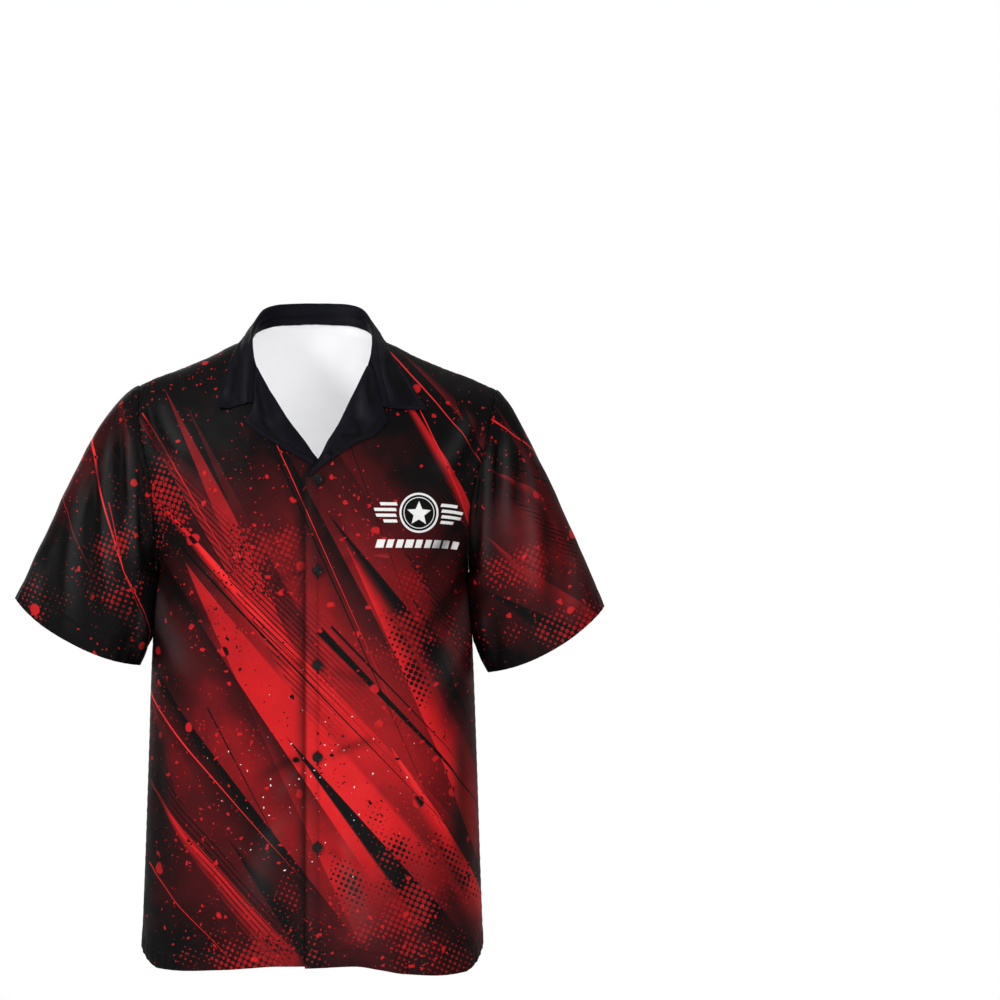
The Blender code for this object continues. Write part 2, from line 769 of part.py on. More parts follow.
def make_button(number, height):
    """A turned button with a raised rim, lying on the over front."""
    centre = on_front(np.array(BUTTON_LINE), np.array(height), np.array(SEAM_GAP))
    face = on_front(np.array(BUTTON_LINE), np.array(height), np.array(SEAM_GAP + 1)) - centre
    across = np.cross((0, 0, 1), face)
    across /= np.linalg.norm(across)
    upward = np.cross(face, across)
    r, t = BUTTON_RADIUS, BUTTON_THICKNESS
    profile = ((0.82 * r, 0), (r, 0.35 * t), (0.98 * r, 0.8 * t), (0.86 * r, t), (0.72 * r, 0.72 * t))
    points = []
    for radius, rise in profile:
        for i in range(BUTTON_SIDES):
            turn = 2 * math.pi * i / BUTTON_SIDES
            spoke = across * math.cos(turn) + upward * math.sin(turn)
            points.append(centre + spoke * radius + face * rise)
    faces = [tuple(reversed(range(BUTTON_SIDES)))]
    for ring in range(len(profile) - 1):
        for i in range(BUTTON_SIDES):
            a, b = ring * BUTTON_SIDES + i, ring * BUTTON_SIDES + (i + 1) % BUTTON_SIDES
            faces.append((a, b, b + BUTTON_SIDES, a + BUTTON_SIDES))
    last = (len(profile) - 1) * BUTTON_SIDES
    faces.append(tuple(range(last, last + BUTTON_SIDES)))
    name = f"button_{number}"
    mesh = bpy.data.meshes.new(name)
    mesh.from_pydata((np.array(points) * MM).tolist(), [], faces)
    mesh.materials.append(material(*BUTTON_RESIN))
    mesh.update()
    mesh.shade_smooth()
    mesh.set_sharp_from_angle(angle=math.radians(40))
    made = bpy.data.objects.new(name, mesh)
    bpy.context.scene.collection.objects.link(made)
    return made


def main():
    clear_scene()
    make_back()
    for side in ("right", "left"):
        make_front(side)
        make_sleeve(side)
        make_lapel(side)
    make_collar()
    for number, height in enumerate(BUTTON_HEIGHTS, 1):
        make_button(number, height)


main()
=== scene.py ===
"""Looks of a short-sleeved bowling shirt: printed cloth, plain collar, buttons, sewing and studio.

Shapes are worked out in millimetres, in the shirt's own frame: X is the wearer's left, the front faces -Y
and Z is up. Meshes and properties are in metres.
"""

import math

import bpy
import numpy as np
from bpy.props import FloatProperty, FloatVectorProperty, PointerProperty
from mathutils import Matrix, Vector


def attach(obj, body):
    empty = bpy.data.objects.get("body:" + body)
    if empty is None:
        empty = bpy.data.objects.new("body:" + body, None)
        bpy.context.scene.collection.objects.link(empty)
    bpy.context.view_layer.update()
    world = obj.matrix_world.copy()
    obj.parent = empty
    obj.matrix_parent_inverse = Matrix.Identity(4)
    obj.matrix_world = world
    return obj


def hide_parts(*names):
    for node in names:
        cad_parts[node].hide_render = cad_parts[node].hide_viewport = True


bl_info = {
    "name": "Bowling shirt",
    "version": (1, 0, 0),
    "blender": (4, 5, 0),
    "location": "3D View > Sidebar > Shirt",
    "description": "Makes a filled-out bowling shirt with a printed cloth, piece by piece",
    "category": "Object",
}

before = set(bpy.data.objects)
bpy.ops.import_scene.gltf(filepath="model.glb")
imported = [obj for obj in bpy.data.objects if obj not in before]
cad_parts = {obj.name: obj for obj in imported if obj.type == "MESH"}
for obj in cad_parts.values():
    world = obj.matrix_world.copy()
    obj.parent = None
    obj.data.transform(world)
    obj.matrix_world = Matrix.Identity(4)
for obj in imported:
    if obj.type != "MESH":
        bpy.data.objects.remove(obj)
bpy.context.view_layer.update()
BODY = "root"
MM = 0.001  # metres in a millimetre
SIGNS = {"right": -1, "left": 1}  # of X on the wearer's right and left

# Torso, in millimetres
ROUNDNESS = 2.4  # exponent of the sections, 2 is an ellipse
SHOULDER_DOME = 300.0  # height over which the shoulders round out to full depth
NECK_HALF = 71.0
NECK_HEIGHT = 9.0
BACK_NECK = (17.0, 0.65)  # the back neck seam: its rise in the middle, and its curve
BACK_DOME = (41.0, 0.8)  # the line that the back rounds out from, over the neck
NECK_LIFT = 3.6  # of the back's upper edge beside the neck, where it turns up into the collar
SHOULDER_END = -46.0
SHOULDER_TIPS = {"right": -46.0, "left": -51.0}
ARMPIT = -262.0
ARMHOLE_SHARE = 0.74
HEM = -720.0
OVERLAP_RECESS = 2.1
BUTTON_LINE = 8.0
BUTTON_HEIGHTS = (-156.0, -261.0, -370.0, -476.0, -580.0)

OPENING_END = -146.0  # the lower end of the open neck
COVER_TOP = -129.0  # where the left front begins to cover the right one

# Seams and plies
SEAM_PULL = 0.25  # from a seam to the rounded edge of each piece that meets there
LAP = ((0.4, 0.8), (1.0, 1.8), (2.4, 2.5), (4.5, 2.8))  # a seam's under ply: on past the edge, and in
ARMHOLE_OUT = 0.3  # from the body's armhole out to the sleeve's edge
PLY_LIFT = 2.2
CUFF_DROOP = 14.0
PRESS = 7.0  # of a sleeve's inner side towards the body
PRESS_END = -352.0
SLEEVE_REST = (156.0, -396.0)  # where a sleeve lies on the body: from this far out, and down to this height
BODY_CLEARANCE = 0.7
LAPEL_BULGE = 3.0
LAPEL_TUCK_END = -136.0  # the roll line is tucked in down to here
COLLAR_ROLL = 5.5
COLLAR_BULGE = 2.5
COLLAR_CLEARANCE = 2.1
COLLAR_LIFTS = {
    "seam": (0.6, 0.5, 0.3, 0.1, 0.0),
    "roll": (1.2, 1.4, 2.2, 3.2, 3.5),
    "edge": (1.6, 1.2, 1.0, 1.0, 1.0),
}
# Collar tips: x and z, how far the tip lifts, and how far the edge beside it sags.
TIP_CURLS = {"right": (-107.0, -74.0, 3.6, 3.2), "left": (130.0, -77.0, 1.2, 0.4)}
FALL_SHARES = (0.2, 0.4, 0.6, 0.8, 1.0)
# How the lapel's cloth goes round the panel's edge and back inside it: in from the roll line, and down.
LAPEL_ROLL = ((-9.0, 5.4), (-3.0, 5.3), (0.4, 4.9), (2.1, 3.7), (2.7, 2.4), (2.2, 1.1), (1.2, 0.35))
# Soft folds square to the collar's ends: how far from the end, half width and height.
COLLAR_WAVES = ((12, 6, -1.6), (24, 7, 1.5), (36, 6, -1.2), (60, 12, 1.0))

# Slight waves in all the cloth, ripples along seams and hems, and the dip into a seam
UNEVEN_WAVES = 9
UNEVEN_LENGTH = 120.0  # of the longest wave
UNEVEN_HEIGHT = 0.42
PUCKER_LENGTHS = (13.7, 71.0, 8.1)  # of the ripples, of the drift in their spacing, and of finer ones
SEAM_DIP = (-0.55, 1.8)  # depth and half width

# Buttons and thread: profiles as shares of radius and thickness, and of length, radius and rise
BUTTON_SIDES = 48
BUTTON_THICK = 2.6
BUTTON_PROFILE = (
    (0.0, 0.10), (0.62, 0.10), (0.80, 0.12), (0.93, 0.35), (1.0, 0.62), (0.995, 0.80), (0.95, 0.95),
    (0.88, 1.0), (0.80, 0.97), (0.73, 0.86), (0.66, 0.74), (0.56, 0.70), (0.0, 0.70),
)  # fmt: skip
BUTTON_HOLES = (0.235, 0.115)  # from the middle across and up, and half width, as shares of the radius
BUTTONHOLE_DROP = 1.5  # from a button down to the middle of its hole
BUTTONHOLE_PITCH = 0.42
STITCH_PROFILE = (
    (0.0, 0.25, -0.9), (0.14, 0.85, 0.1), (0.5, 1.0, 0.75), (0.86, 0.85, 0.1), (1.0, 0.25, -0.9),
)  # fmt: skip

# Light and shade of the folds, seams and edges, painted into the cloth's colour: half width and depth of each
# line of painted shade
FULL_FOLD = 2.4  # height of a fold that is as light or dark as folds get
SIDE_SHADE = (1.8, 0.8)
SHOULDER_SHADE = (1.8, 0.6)
ARMHOLE_SHADE = (2.0, 0.8)
HEM_SHADE = (1.2, 0.35)
CUFF_SHADE = (1.2, 0.5)
# Painted shadow that the left front's edge casts on the right front beneath it
COVERED_SHADES = ((1.8, 2.6, 1.0), (5.0, 6.0, 0.5))  # under the front edge: past it, half width and depth
BUTTON_LINE_SHADE = (1.8, 0.45)
FRONT_EDGE_SHADE = (0.9, 0.8)
LAPEL_SHADE = (2.0, 1.0)
COLLAR_SHADE = (1.2, 0.5)
STAND_SHADE = (1.4, 0.7)
STAND_SEAM = 10.0  # from the neck seam up to the seam between stand and fall

# Fineness of the cloth
FRONT_COLUMNS = 92
PANEL_ROWS = 236
SLEEVE_COLUMNS = 168
SLEEVE_ROWS = 92
LAPEL_ROWS = 130
LAPEL_COLUMNS = 34
COLLAR_SECTIONS = 241
COLLAR_ROWS = 62
CROWDING = 0.55  # how much closer the rows and columns stand at the edges of a panel

# Studio lamps, in metres: place, aim and width
SHIRT_MIDDLE = (0.0, 0.0, -0.33)
LAMPS = {
    "key": ((-3.0, -2.4, 1.9), SHIRT_MIDDLE, 1.0),
    "fill": ((1.2, -4.3, -0.1), SHIRT_MIDDLE, 2.4),
    "top": ((0.3, 0.6, 2.6), SHIRT_MIDDLE, 1.8),
    "rear": ((-0.8, 3.2, 0.8), SHIRT_MIDDLE, 2.2),
    "neck": ((0.0, -0.05, -0.30), (0.0, 0.11, -0.10), 0.18),
}


def table(text):
    """A table as a dictionary of columns: the first line names them, and each further line is a row."""
    head, *rows = text.strip().splitlines()
    return dict(zip(head.split(), np.array([row.split() for row in rows], float).T))


TORSO = table("""
height right left front back
-720 200.5 199.5 124 120
-630 196.5 196 124 119
-540 193.5 193 124 118
-450 190.5 190 125 117
-333 186.5 185.5 127 118
-262 182.5 181.5 127 120
-240 181.5 181 127 121
-200 183 182.5 126 122
-160 188 190 125 122
-125 195 199 124 122
-100 199.5 205 124 122
-72 202 210 124 122
-51 202 214 124 122
-46 202 214 124 122
""")
SHOULDER = table("""
out height
71 9
84 5
97 -0.5
118 -11.5
139 -20.5
160 -29
181 -36.5
202 -46
214 -51
""")
# Rows of the fronts: height at the side or armhole, and at the front edge or the roll line.
FRONT_ROWS = table("""
outer inner
-720 -720
-690 -690
-640 -640
-580 -580
-520 -520
-460 -460
-400 -400
-340 -338
-296 -288
-262 -244
-255 -226
-238 -202
-208 -172
-172 -136
-136 -102
-104 -68
-80 -36
-63 -14
-52 1
-47.5 7
-46 9
""")
FRONT_EDGE = table("""
height under over
-720 -22 -6
-170 -22 -6
-156 -22 -5.5
-144 -17 0
-132 -7 9
-110 11 22
-89 27 35
-55 49 51
-24 65 65
-5 69.5 69.5
9 71 71
""")
HEMS = table("""
share under over back
0 -717 -719 -712
0.13 -717 -717 -712
0.22 -719 -721 -712
0.32 -721.5 -726 -711
0.5 -723 -728.5 -709
0.68 -721.5 -725.5 -704
0.78 -715 -717 -700
0.87 -706 -707 -695
1 -693 -694 -693
""")
SLEEVES = {
    "right": table("""
out_x out_z in_x in_z depth
202 -46 182.8 -262 66
212 -51.5 183.3 -268 66
224 -62 183.7 -276 65
244 -86 184.4 -288 64
264 -120 185.2 -301 62
285 -163 186.1 -315 60
306 -208 187.3 -331 57
327 -252 192 -350 54
347 -294 201.5 -372 51
"""),
    "left": table("""
out_x out_z in_x in_z depth
214 -51 181.8 -262 66
221 -58 182.3 -268 66
231 -71 182.7 -276 65
247 -99 183.5 -289 64
263 -131 184.3 -303 62
282 -170 185.3 -318 60
301 -214 186.5 -335 57
320 -257 191.5 -356 54
339 -304 203.5 -380 51
"""),
}
SLEEVE_FOLDS = table("""
at width height start end
0.1 0.03 -4 0.15 0.75
0.17 0.03 3.5 0.1 0.85
0.25 0.028 -3 0.05 0.7
0.34 0.03 3 0.2 0.95
0.63 0.032 3 0.15 0.9
0.74 0.03 -3.5 0.1 0.7
0.84 0.032 3.5 0.1 0.85
0.91 0.026 -3 0.2 0.8
""")
BODY_FOLDS = {
    "front": table("""
x width height low high
-148 17 4 -760 -350
-112 16 -3.5 -760 -420
-66 18 3 -760 -520
52 18 -3 -760 -500
92 17 3.5 -760 -430
140 18 4 -760 -330
"""),
    "back": table("""
x width height low high
-140 18 4 -750 -330
-92 20 -3.5 -750 -280
-30 22 3.5 -750 -360
34 20 -3 -750 -300
86 20 3.5 -750 -380
146 18 -3.5 -750 -300
"""),
}
# Creases placed one by one: from (x0, z0) to (x1, z1), how far the middle bows to the side, the half width
# and the height out of the cloth, less than 0 for a trough.
CREASES = {
    "front": table("""
x0 z0 x1 z1 bow width height
-192 -66 -158 -142 5 8 -3.2
-176 -60 -140 -134 4 10 1.8
-184 -196 -138 -262 -6 9 -2
-182 -246 -112 -330 8 10 -2.7
-184 -272 -138 -392 6 12 2.7
-190 -330 -150 -430 -5 11 -2.2
-176 -420 -166 -640 6 12 -2.4
-30 -540 -66 -660 8 14 1.9
-6 -476 -66 -508 5 6 -1.5
-4 -484 -44 -530 4 6 1.1
-6 -372 -52 -352 -4 6 -1.2
-8 -262 -48 -282 3 5 -1.1
198 -84 164 -160 -5 8 -3
182 -78 146 -150 -4 10 1.9
184 -200 132 -268 6 9 -2.2
182 -250 120 -340 -8 10 -3
184 -276 142 -404 -6 12 3
188 -350 158 -450 5 10 -2.2
172 -430 168 -650 -6 12 -2.4
24 -372 74 -392 4 6 -1.4
24 -476 84 -458 -5 6 -1.6
22 -580 66 -604 4 6 -1.4
24 -262 60 -244 -3 5 -1.1
40 -560 70 -700 6 12 2.2
"""),
    "back": table("""
x0 z0 x1 z1 bow width height
-190 -96 -128 -176 8 10 -2.2
-182 -120 -104 -214 8 12 1.6
-184 -236 -96 -318 10 11 -2.2
-184 -262 -120 -388 8 12 2
-186 -340 -120 -470 -8 12 -1.6
-60 -60 -52 -210 8 16 1.4
196 -100 132 -184 -8 10 -2.4
184 -128 108 -226 -8 12 1.6
184 -240 104 -330 -10 11 -2
184 -268 130 -402 -8 12 2.2
186 -352 122 -484 8 12 -1.6
56 -64 66 -220 -8 16 -1.4
-24 -300 12 -470 10 14 -1.3
20 -420 -10 -620 8 16 1.5
"""),
    "right sleeve front": table("""
x0 z0 x1 z1 bow width height
-247 -112 -252 -318 4 6.5 -4.4
-234 -100 -234 -292 3 6.5 3.9
-222 -92 -216 -206 2 5 -3.9
-209 -98 -206 -262 2 6.5 3.6
-197 -112 -192 -280 2 5 -3.1
-262 -140 -280 -340 5 10 2.6
-284 -190 -300 -330 4 10 -2.1
-228 -290 -214 -378 -4 9 -2.3
-204 -300 -203 -372 2 6 2.1
-318 -240 -322 -310 2 9 1.6
"""),
    "right sleeve back": table("""
x0 z0 x1 z1 bow width height
-214 -90 -204 -262 4 7 -3
-228 -96 -222 -286 -4 7 2.6
-244 -120 -246 -300 4 7 -2.8
-262 -146 -276 -334 -4 10 1.8
-196 -140 -190 -270 2 6 2
-230 -300 -216 -372 4 9 -1.6
"""),
    "left sleeve front": table("""
x0 z0 x1 z1 bow width height
216 -104 213 -190 -2 5 -3.9
225 -98 227 -232 2 6 3.4
235 -112 238 -196 -2 5 -3.1
205 -112 198 -272 -2 6.5 3.4
195 -130 189 -280 -2 5 -2.9
246 -120 256 -300 -4 9 2.6
262 -160 276 -320 -4 10 -2.3
224 -290 212 -384 4 9 -2.3
206 -306 205 -384 -2 6 2.1
300 -230 306 -330 -3 10 1.7
"""),
    "left sleeve back": table("""
x0 z0 x1 z1 bow width height
218 -96 206 -270 -4 7 -3
232 -104 226 -292 4 7 2.6
248 -128 250 -310 -4 7 -2.6
266 -150 280 -340 4 10 1.8
199 -150 192 -276 -2 6 2
232 -310 216 -380 -4 9 -1.6
"""),
    "lapels": table("""
x0 z0 x1 z1 bow width height
-58 -84 -30 -112 3 4 -1.4
-64 -60 -52 -92 2 5 1.2
-62 -40 -50 -96 2 4 -2
-44 -52 -34 -100 -3 6 1.8
66 -34 74 -78 2 4.5 -2.1
56 -46 60 -92 -3 6 1.8
34 -106 66 -96 3 4.5 -2.2
42 -116 74 -108 2 4.5 1.8
30 -122 56 -120 2 3.5 -1.7
58 -62 70 -92 3 6 1.5
46 -84 60 -106 -3 4 -1.4
22 -120 34 -132 2 3 -1.5
14 -128 26 -138 -2 3 1.2
"""),
    "collar": table("""
x0 z0 x1 z1 bow width height
-84 6 -87 -74 2 4.5 -3.3
-75 -8 -73 -74 1 4.5 2
-88 -14 -100 -72 -2 5.5 1.4
-80 22 -88 4 2 3 -1.4
88 -10 118 -74 4 6.5 -3.2
80 -22 97 -72 3 6.5 2.3
84 -48 90 -76 1 3.5 -1.7
74 24 82 4 -2 2.5 -1.7
79 26 87 6 -2 2.5 1.4
66 34 76 12 -2 2.5 -1.4
"""),
}
LAPELS = {
    "right": table("""
roll_x roll_z edge_x edge_z
63.6 -28 66 -32
60 -35 66.3 -46
54 -46 67.3 -66
49.2 -55 71 -79
43.5 -64 78 -90
36 -76 68 -98.5
27.5 -89 56 -107
15 -105 36 -119
4 -119 18 -129
-2.5 -127.5 5 -136
-6.4 -132.2 -0.6 -140.4
"""),
    "left": table("""
roll_x roll_z edge_x edge_z
64.8 -26 71 -30
61 -34 76 -44
56 -45 80 -58
51.4 -55 81.5 -71
46.6 -65 86 -81
41.5 -76 89 -88
34.8 -90 74 -106
27.6 -102 54 -114
20.4 -113 36 -125
13.6 -125 22 -134
6.6 -136 11 -142.5
0.6 -143.5 4 -148
-2.6 -150 -0.6 -152.5
-3.9 -153 -3.2 -154
"""),
}
COLLAR_ENDS = {
    "right": table("""
seam_x seam_z roll_x roll_z edge_x edge_z
68.4 -67 72.5 -67.2 109 -75
67.4 -50 71.5 -50 107 -62
66.9 -35 70.5 -34 104 -48
67 -20 70 -17 98 -32
68.6 -6 70.2 -1 92 -15
"""),
    "left": table("""
seam_x seam_z roll_x roll_z edge_x edge_z
82.6 -72 86.5 -72.5 133 -78
80.6 -58 84 -58 124 -64
74 -36 77.5 -35 112 -45
69 -20 72 -17 101 -29
68.6 -6 70.2 -1 91 -13
"""),
}
COLLAR_NECK = table("""
seam_x seam_y seam_z roll_x roll_y roll_z edge_x edge_y edge_z
69.6 -19 6.9 69 -20 13 87 -22 0
69.3 -3 8.9 67.2 -3 23 82 -3 7
65.8 12.5 14.8 63.6 13 32.8 81 16 8
56.5 26.6 20 55.4 29.5 44 74 40 9
41 36.9 24.3 40.5 41 50 52 54 10
21.5 43.1 25.6 21.4 47.6 51.6 27 63 10.5
0 45.1 26.8 0 50 52.2 0 66 10.5
""")
# The print. Directions are degrees below the horizontal, to the viewer's right on the front; lengths are
# in millimetres and shades go from 0, black, to 1, the brightest red. A shard widens from its point at
# (x, z) along one crisp edge, to the lower left, or to the upper right where its width is less than 0. Its
# fade is 1 where it fades over its whole width, and near 0 where the other edge is crisp too.
PRINTS = {
    "body": {
        "glow": {"x": 20.0, "z": -440.0, "across": 190.0, "down": 280.0, "dark": 0.06, "bright": 0.64},
        "shards": table("""
x z angle length width fade start end share
-215 -60 60 640 -170 1 0.62 0.72 0.95
-104 20 62 520 70 0.9 0.05 0.14 0.9
-176 -40 61 560 66 0.08 0.62 0.8 0.92
-150 -60 66 380 -34 0.1 0.4 0.2 0.9
-60 10 56 520 -90 0.8 0.44 0.2 0.92
60 20 57 420 34 0.6 0.98 0.7 0.97
98 10 50 360 -50 0.8 0.6 0.34 0.95
150 -10 64 460 46 0.05 0.04 0.1 0.95
-205 -150 47 600 60 0.6 0.98 0.72 1
-150 -250 65 520 -150 0.06 0.68 1 0.95
-205 -210 56 520 80 1 0.08 0.16 0.85
40 -230 66 470 -80 0.9 0.86 0.94 0.88
16 -190 50 420 60 0.6 0.05 0.04 0.95
110 -280 62 440 -74 0.6 0.12 0.34 0.92
-210 -350 52 460 110 1 0.03 0.02 0.95
-206 -400 68 360 -90 0.25 0.42 0.2 0.9
-205 -500 47 380 52 0.55 0.92 0.5 0.96
-30 -450 48 360 44 0.15 0.02 0.02 0.98
-96 -570 58 260 -80 0.9 0.03 0.05 0.92
90 -460 55 330 70 0.7 1 0.8 0.9
"""),
        "hatches": table("""
x z angle length width fade turn pitch
-200 -90 60 460 -120 0.5 44 5
70 -20 57 330 60 0.6 44 4.6
-200 -470 50 330 80 0.5 47 5.4
96 -220 60 330 -70 0.6 42 4.8
"""),
        "lines": table("""
x z angle length width shade
-196 -190 46 640 3.4 0
-186 -190 46 560 1.5 0
-70 -60 66 640 2.6 0.01
-63 -62 66 580 1.3 0.98
-200 -70 60 400 1.6 0.85
14 -30 70 420 1.5 0.02
84 10 50 320 2 0.98
120 -60 64 460 1.5 0.92
-205 -400 48 360 2.2 0.98
-120 -420 62 330 1.8 0.01
10 -330 46 330 9 0
24 -326 46 290 3 0
-200 -600 46 240 1.6 0.85
"""),
        "dots": table("""
x z across down
110 -640 130 90
-50 -690 90 56
-60 -250 70 60
120 -330 60 90
-180 -180 46 80
"""),
        "white": {"x": 0.0, "z": -500.0, "across": 120.0},
        "spatter": 1.1,
    },
    "right sleeve": {
        "glow": {"x": -300.0, "z": -110.0, "across": 80.0, "down": 110.0, "dark": 0.015, "bright": 0.34},
        "shards": table("""
x z angle length width fade start end share
-236 -20 68 330 60 1 0.4 0.16 0.9
-205 -40 80 360 34 0.6 0.02 0.02 0.9
-226 -120 62 260 -50 0.8 0.24 0.05 0.8
-330 -180 36 200 -40 0.8 0.2 0.05 0.85
"""),
        "hatches": table("""
x z angle length width fade turn pitch
-290 -60 64 240 -60 0.6 40 5
"""),
        "lines": table("""
x z angle length width shade
-262 -84 73 330 3.8 0.95
-222 -190 78 200 1.4 0.85
-300 -150 66 200 1.6 0.6
"""),
        "dots": table("""
x z across down
-214 -250 40 80
-320 -300 50 40
"""),
        "white": {"x": 0.0, "z": 400.0, "across": 60.0},
        "spatter": 1.25,
    },
    "left sleeve": {
        "glow": {"x": 270.0, "z": -240.0, "across": 110.0, "down": 110.0, "dark": 0.04, "bright": 0.38},
        "shards": table("""
x z angle length width fade start end share
200 -40 44 300 90 1 0.3 0.45 0.95
190 -110 26 260 50 0.6 0.05 0.1 0.95
186 -150 20 260 60 0.8 0.52 0.4 0.95
196 -60 62 280 -50 0.5 0.4 0.2 0.8
180 -230 30 260 60 0.9 0.6 0.34 0.95
186 -290 20 220 60 0.7 0.03 0.02 0.95
"""),
        "hatches": table("""
x z angle length width fade turn pitch
190 -60 34 260 90 0.6 20 5.2
200 -170 30 240 60 0.5 14 4.8
"""),
        "lines": table("""
x z angle length width shade
196 -90 30 230 2.6 0.9
186 -140 14 220 3 0.01
206 -60 60 280 1.8 0.01
"""),
        "dots": table("""
x z across down
300 -330 70 44
220 -270 50 40
"""),
        "white": {"x": 0.0, "z": 400.0, "across": 60.0},
        "spatter": 0.9,
    },
}
FLAT_SHARE = 0.3  # of the flat cloth's own lengths in the print's places, the rest is as seen
DOT_PITCH = 6.4
DOT_TURN = 24.0
BACK_TURN_LEVEL = -690.0  # the back is cut with the print upside down: its z here less the panel's
# The chest badge: its middle, and each bar's level, inner end and length beside it
BADGE_MIDDLE = (126.0, -194.0)
BADGE_BARS = ((10.0, 26, 20), (3.4, 27, 26), (-3.2, 27, 24), (-9.8, 26, 16))
BACK_MOTIF_LEVEL = -160.0
PRINT_TABLES = ("shards", "hatches", "dots", "lines")
# The print's colours, from dark to bright
PRINT_RAMP = (
    (0.0, "black"), (0.10, "black"), (0.32, "maroon"), (0.60, "deep_red"), (0.84, "red"),
    (1.0, "bright_red"),
)  # fmt: skip


# Curves through the tables


def cubic(t, step, values, tangents, cell):
    """A cubic from each cell's row to the next, with the rows' own slopes."""
    return (
        (1 + 2 * t) * (1 - t) ** 2 * values[cell]
        + t * (1 - t) ** 2 * step * tangents[cell]
        + t * t * (3 - 2 * t) * values[cell + 1]
        + t * t * (t - 1) * step * tangents[cell + 1]
    )


def read(data, column, at):
    """A column read at values of the first one, along a smooth curve that never overshoots its rows."""
    keys = next(iter(data.values()))
    order = np.argsort(keys)
    keys, values = keys[order], data[column][order]
    steps = np.diff(keys)
    slopes = np.diff(values) / steps
    tangents = np.concatenate([slopes[:1], np.zeros(len(slopes) - 1), slopes[-1:]])
    same = slopes[:-1] * slopes[1:] > 0
    before, after = slopes[:-1][same], slopes[1:][same]
    tangents[1:-1][same] = 2 * before * after / (before + after)
    at = np.clip(np.asarray(at, float), keys[0], keys[-1])
    cell = np.clip(np.searchsorted(keys, at, side="right") - 1, 0, len(steps) - 1)
    return cubic((at - keys[cell]) / steps[cell], steps[cell], values, tangents, cell)


def through(points, keys, at):
    """A smooth curve through rows of points that stand at these keys, read at other keys."""
    steps = np.diff(keys).reshape((-1,) + (1,) * (points.ndim - 1))
    slopes = np.diff(points, axis=0) / steps
    inner = (slopes[:-1] * steps[1:] + slopes[1:] * steps[:-1]) / (steps[1:] + steps[:-1])
    tangents = np.concatenate([slopes[:1], inner, slopes[-1:]])
    cell = np.clip(np.searchsorted(keys, at, side="right") - 1, 0, len(keys) - 2)
    t = (np.asarray(at) - keys[cell]).reshape(steps[cell].shape) / steps[cell]
    return cubic(t, steps[cell], points, tangents, cell)


def by_number(points, count):
    """Points spaced evenly in row number along a smooth curve through rows of points."""
    keys = np.arange(len(points), dtype=float)
    return through(points, keys, np.linspace(0, keys[-1], count))


def interpolated(at, keys, points):
    """Rows of points read at keys between their own, along straight runs."""
    return np.stack([np.interp(at, keys, values) for values in points.T], axis=-1)


def with_corners(points, count):
    """Points spaced evenly in row number along straight runs between rows of points, corners just soft."""
    line = interpolated(np.linspace(0, len(points) - 1, count), np.arange(len(points)), points)
    for _ in range(4):
        line[1:-1] = (line[:-2] + 2 * line[1:-1] + line[2:]) / 4
    return line


def by_length(points, shares):
    """Points at these shares of the mean length along a smooth curve through rows of points."""
    keys = travelled(points)
    keys = keys.reshape(len(keys), -1).mean(axis=1)
    return through(points, keys, np.asarray(shares) * keys[-1])


def travelled(points, axis=0):
    """How far each point of a grid lies along its own line of points, in the direction of an axis."""
    steps = np.linalg.norm(np.diff(points, axis=axis), axis=-1)
    return np.pad(np.cumsum(steps, axis=axis), [(int(i == axis), 0) for i in range(steps.ndim)])


def spread(count):
    """Shares from 0 to 1, closer together at both ends."""
    even = np.linspace(0, 1, count)
    return even - CROWDING * np.sin(2 * np.pi * even) / (2 * np.pi)


def ease(value):
    value = np.clip(value, 0, 1)
    return value * value * (3 - 2 * value)


def bell(away, width):
    return np.exp(-((away / width) ** 2))


def signed_power(value, power):
    return np.sign(value) * np.abs(value) ** power


def unit(vectors):
    return vectors / np.maximum(np.linalg.norm(vectors, axis=-1, keepdims=True), 1e-9)


# The shirt's surface


def shoulder_height(x, back, rise, power):
    """Height of the line over the shoulders, with a rise over the neck at the back."""
    inside = np.clip(1 - (np.abs(x) / NECK_HALF) ** 2, 0, 1)
    return read(SHOULDER, "height", np.abs(x)) + back * rise * inside**power


def rounded(share):
    """Share of its full depth that a section has at a share of its half width, or the other way round."""
    return (1 - np.clip(share, 0, 1) ** ROUNDNESS) ** (1 / ROUNDNESS)


def reach_at(side, height):
    """Half width of the whole section at a height, with the armholes filled in."""
    tip = SHOULDER_TIPS[side]
    down = np.clip((tip - height) / (tip - ARMPIT), 0, 1)
    return read(TORSO, side, height) / rounded(ARMHOLE_SHARE * (1 - down**3) ** 0.6)


def section_depth(x, height, back):
    """Half depth of the section at a height, with no shoulders."""
    reach = np.where(x > 0, reach_at("left", height), reach_at("right", height))
    return read(TORSO, "back" if back else "front", height) * rounded(np.abs(x) / reach)


def depth_at(x, height, back):
    """Distance of the shirt's outer face from the plane of the side seams."""
    drop = np.clip((shoulder_height(x, back, *BACK_DOME) - height) / SHOULDER_DOME, 0, 1)
    return section_depth(x, height, back) * np.sqrt(1 - (1 - drop) ** 2)


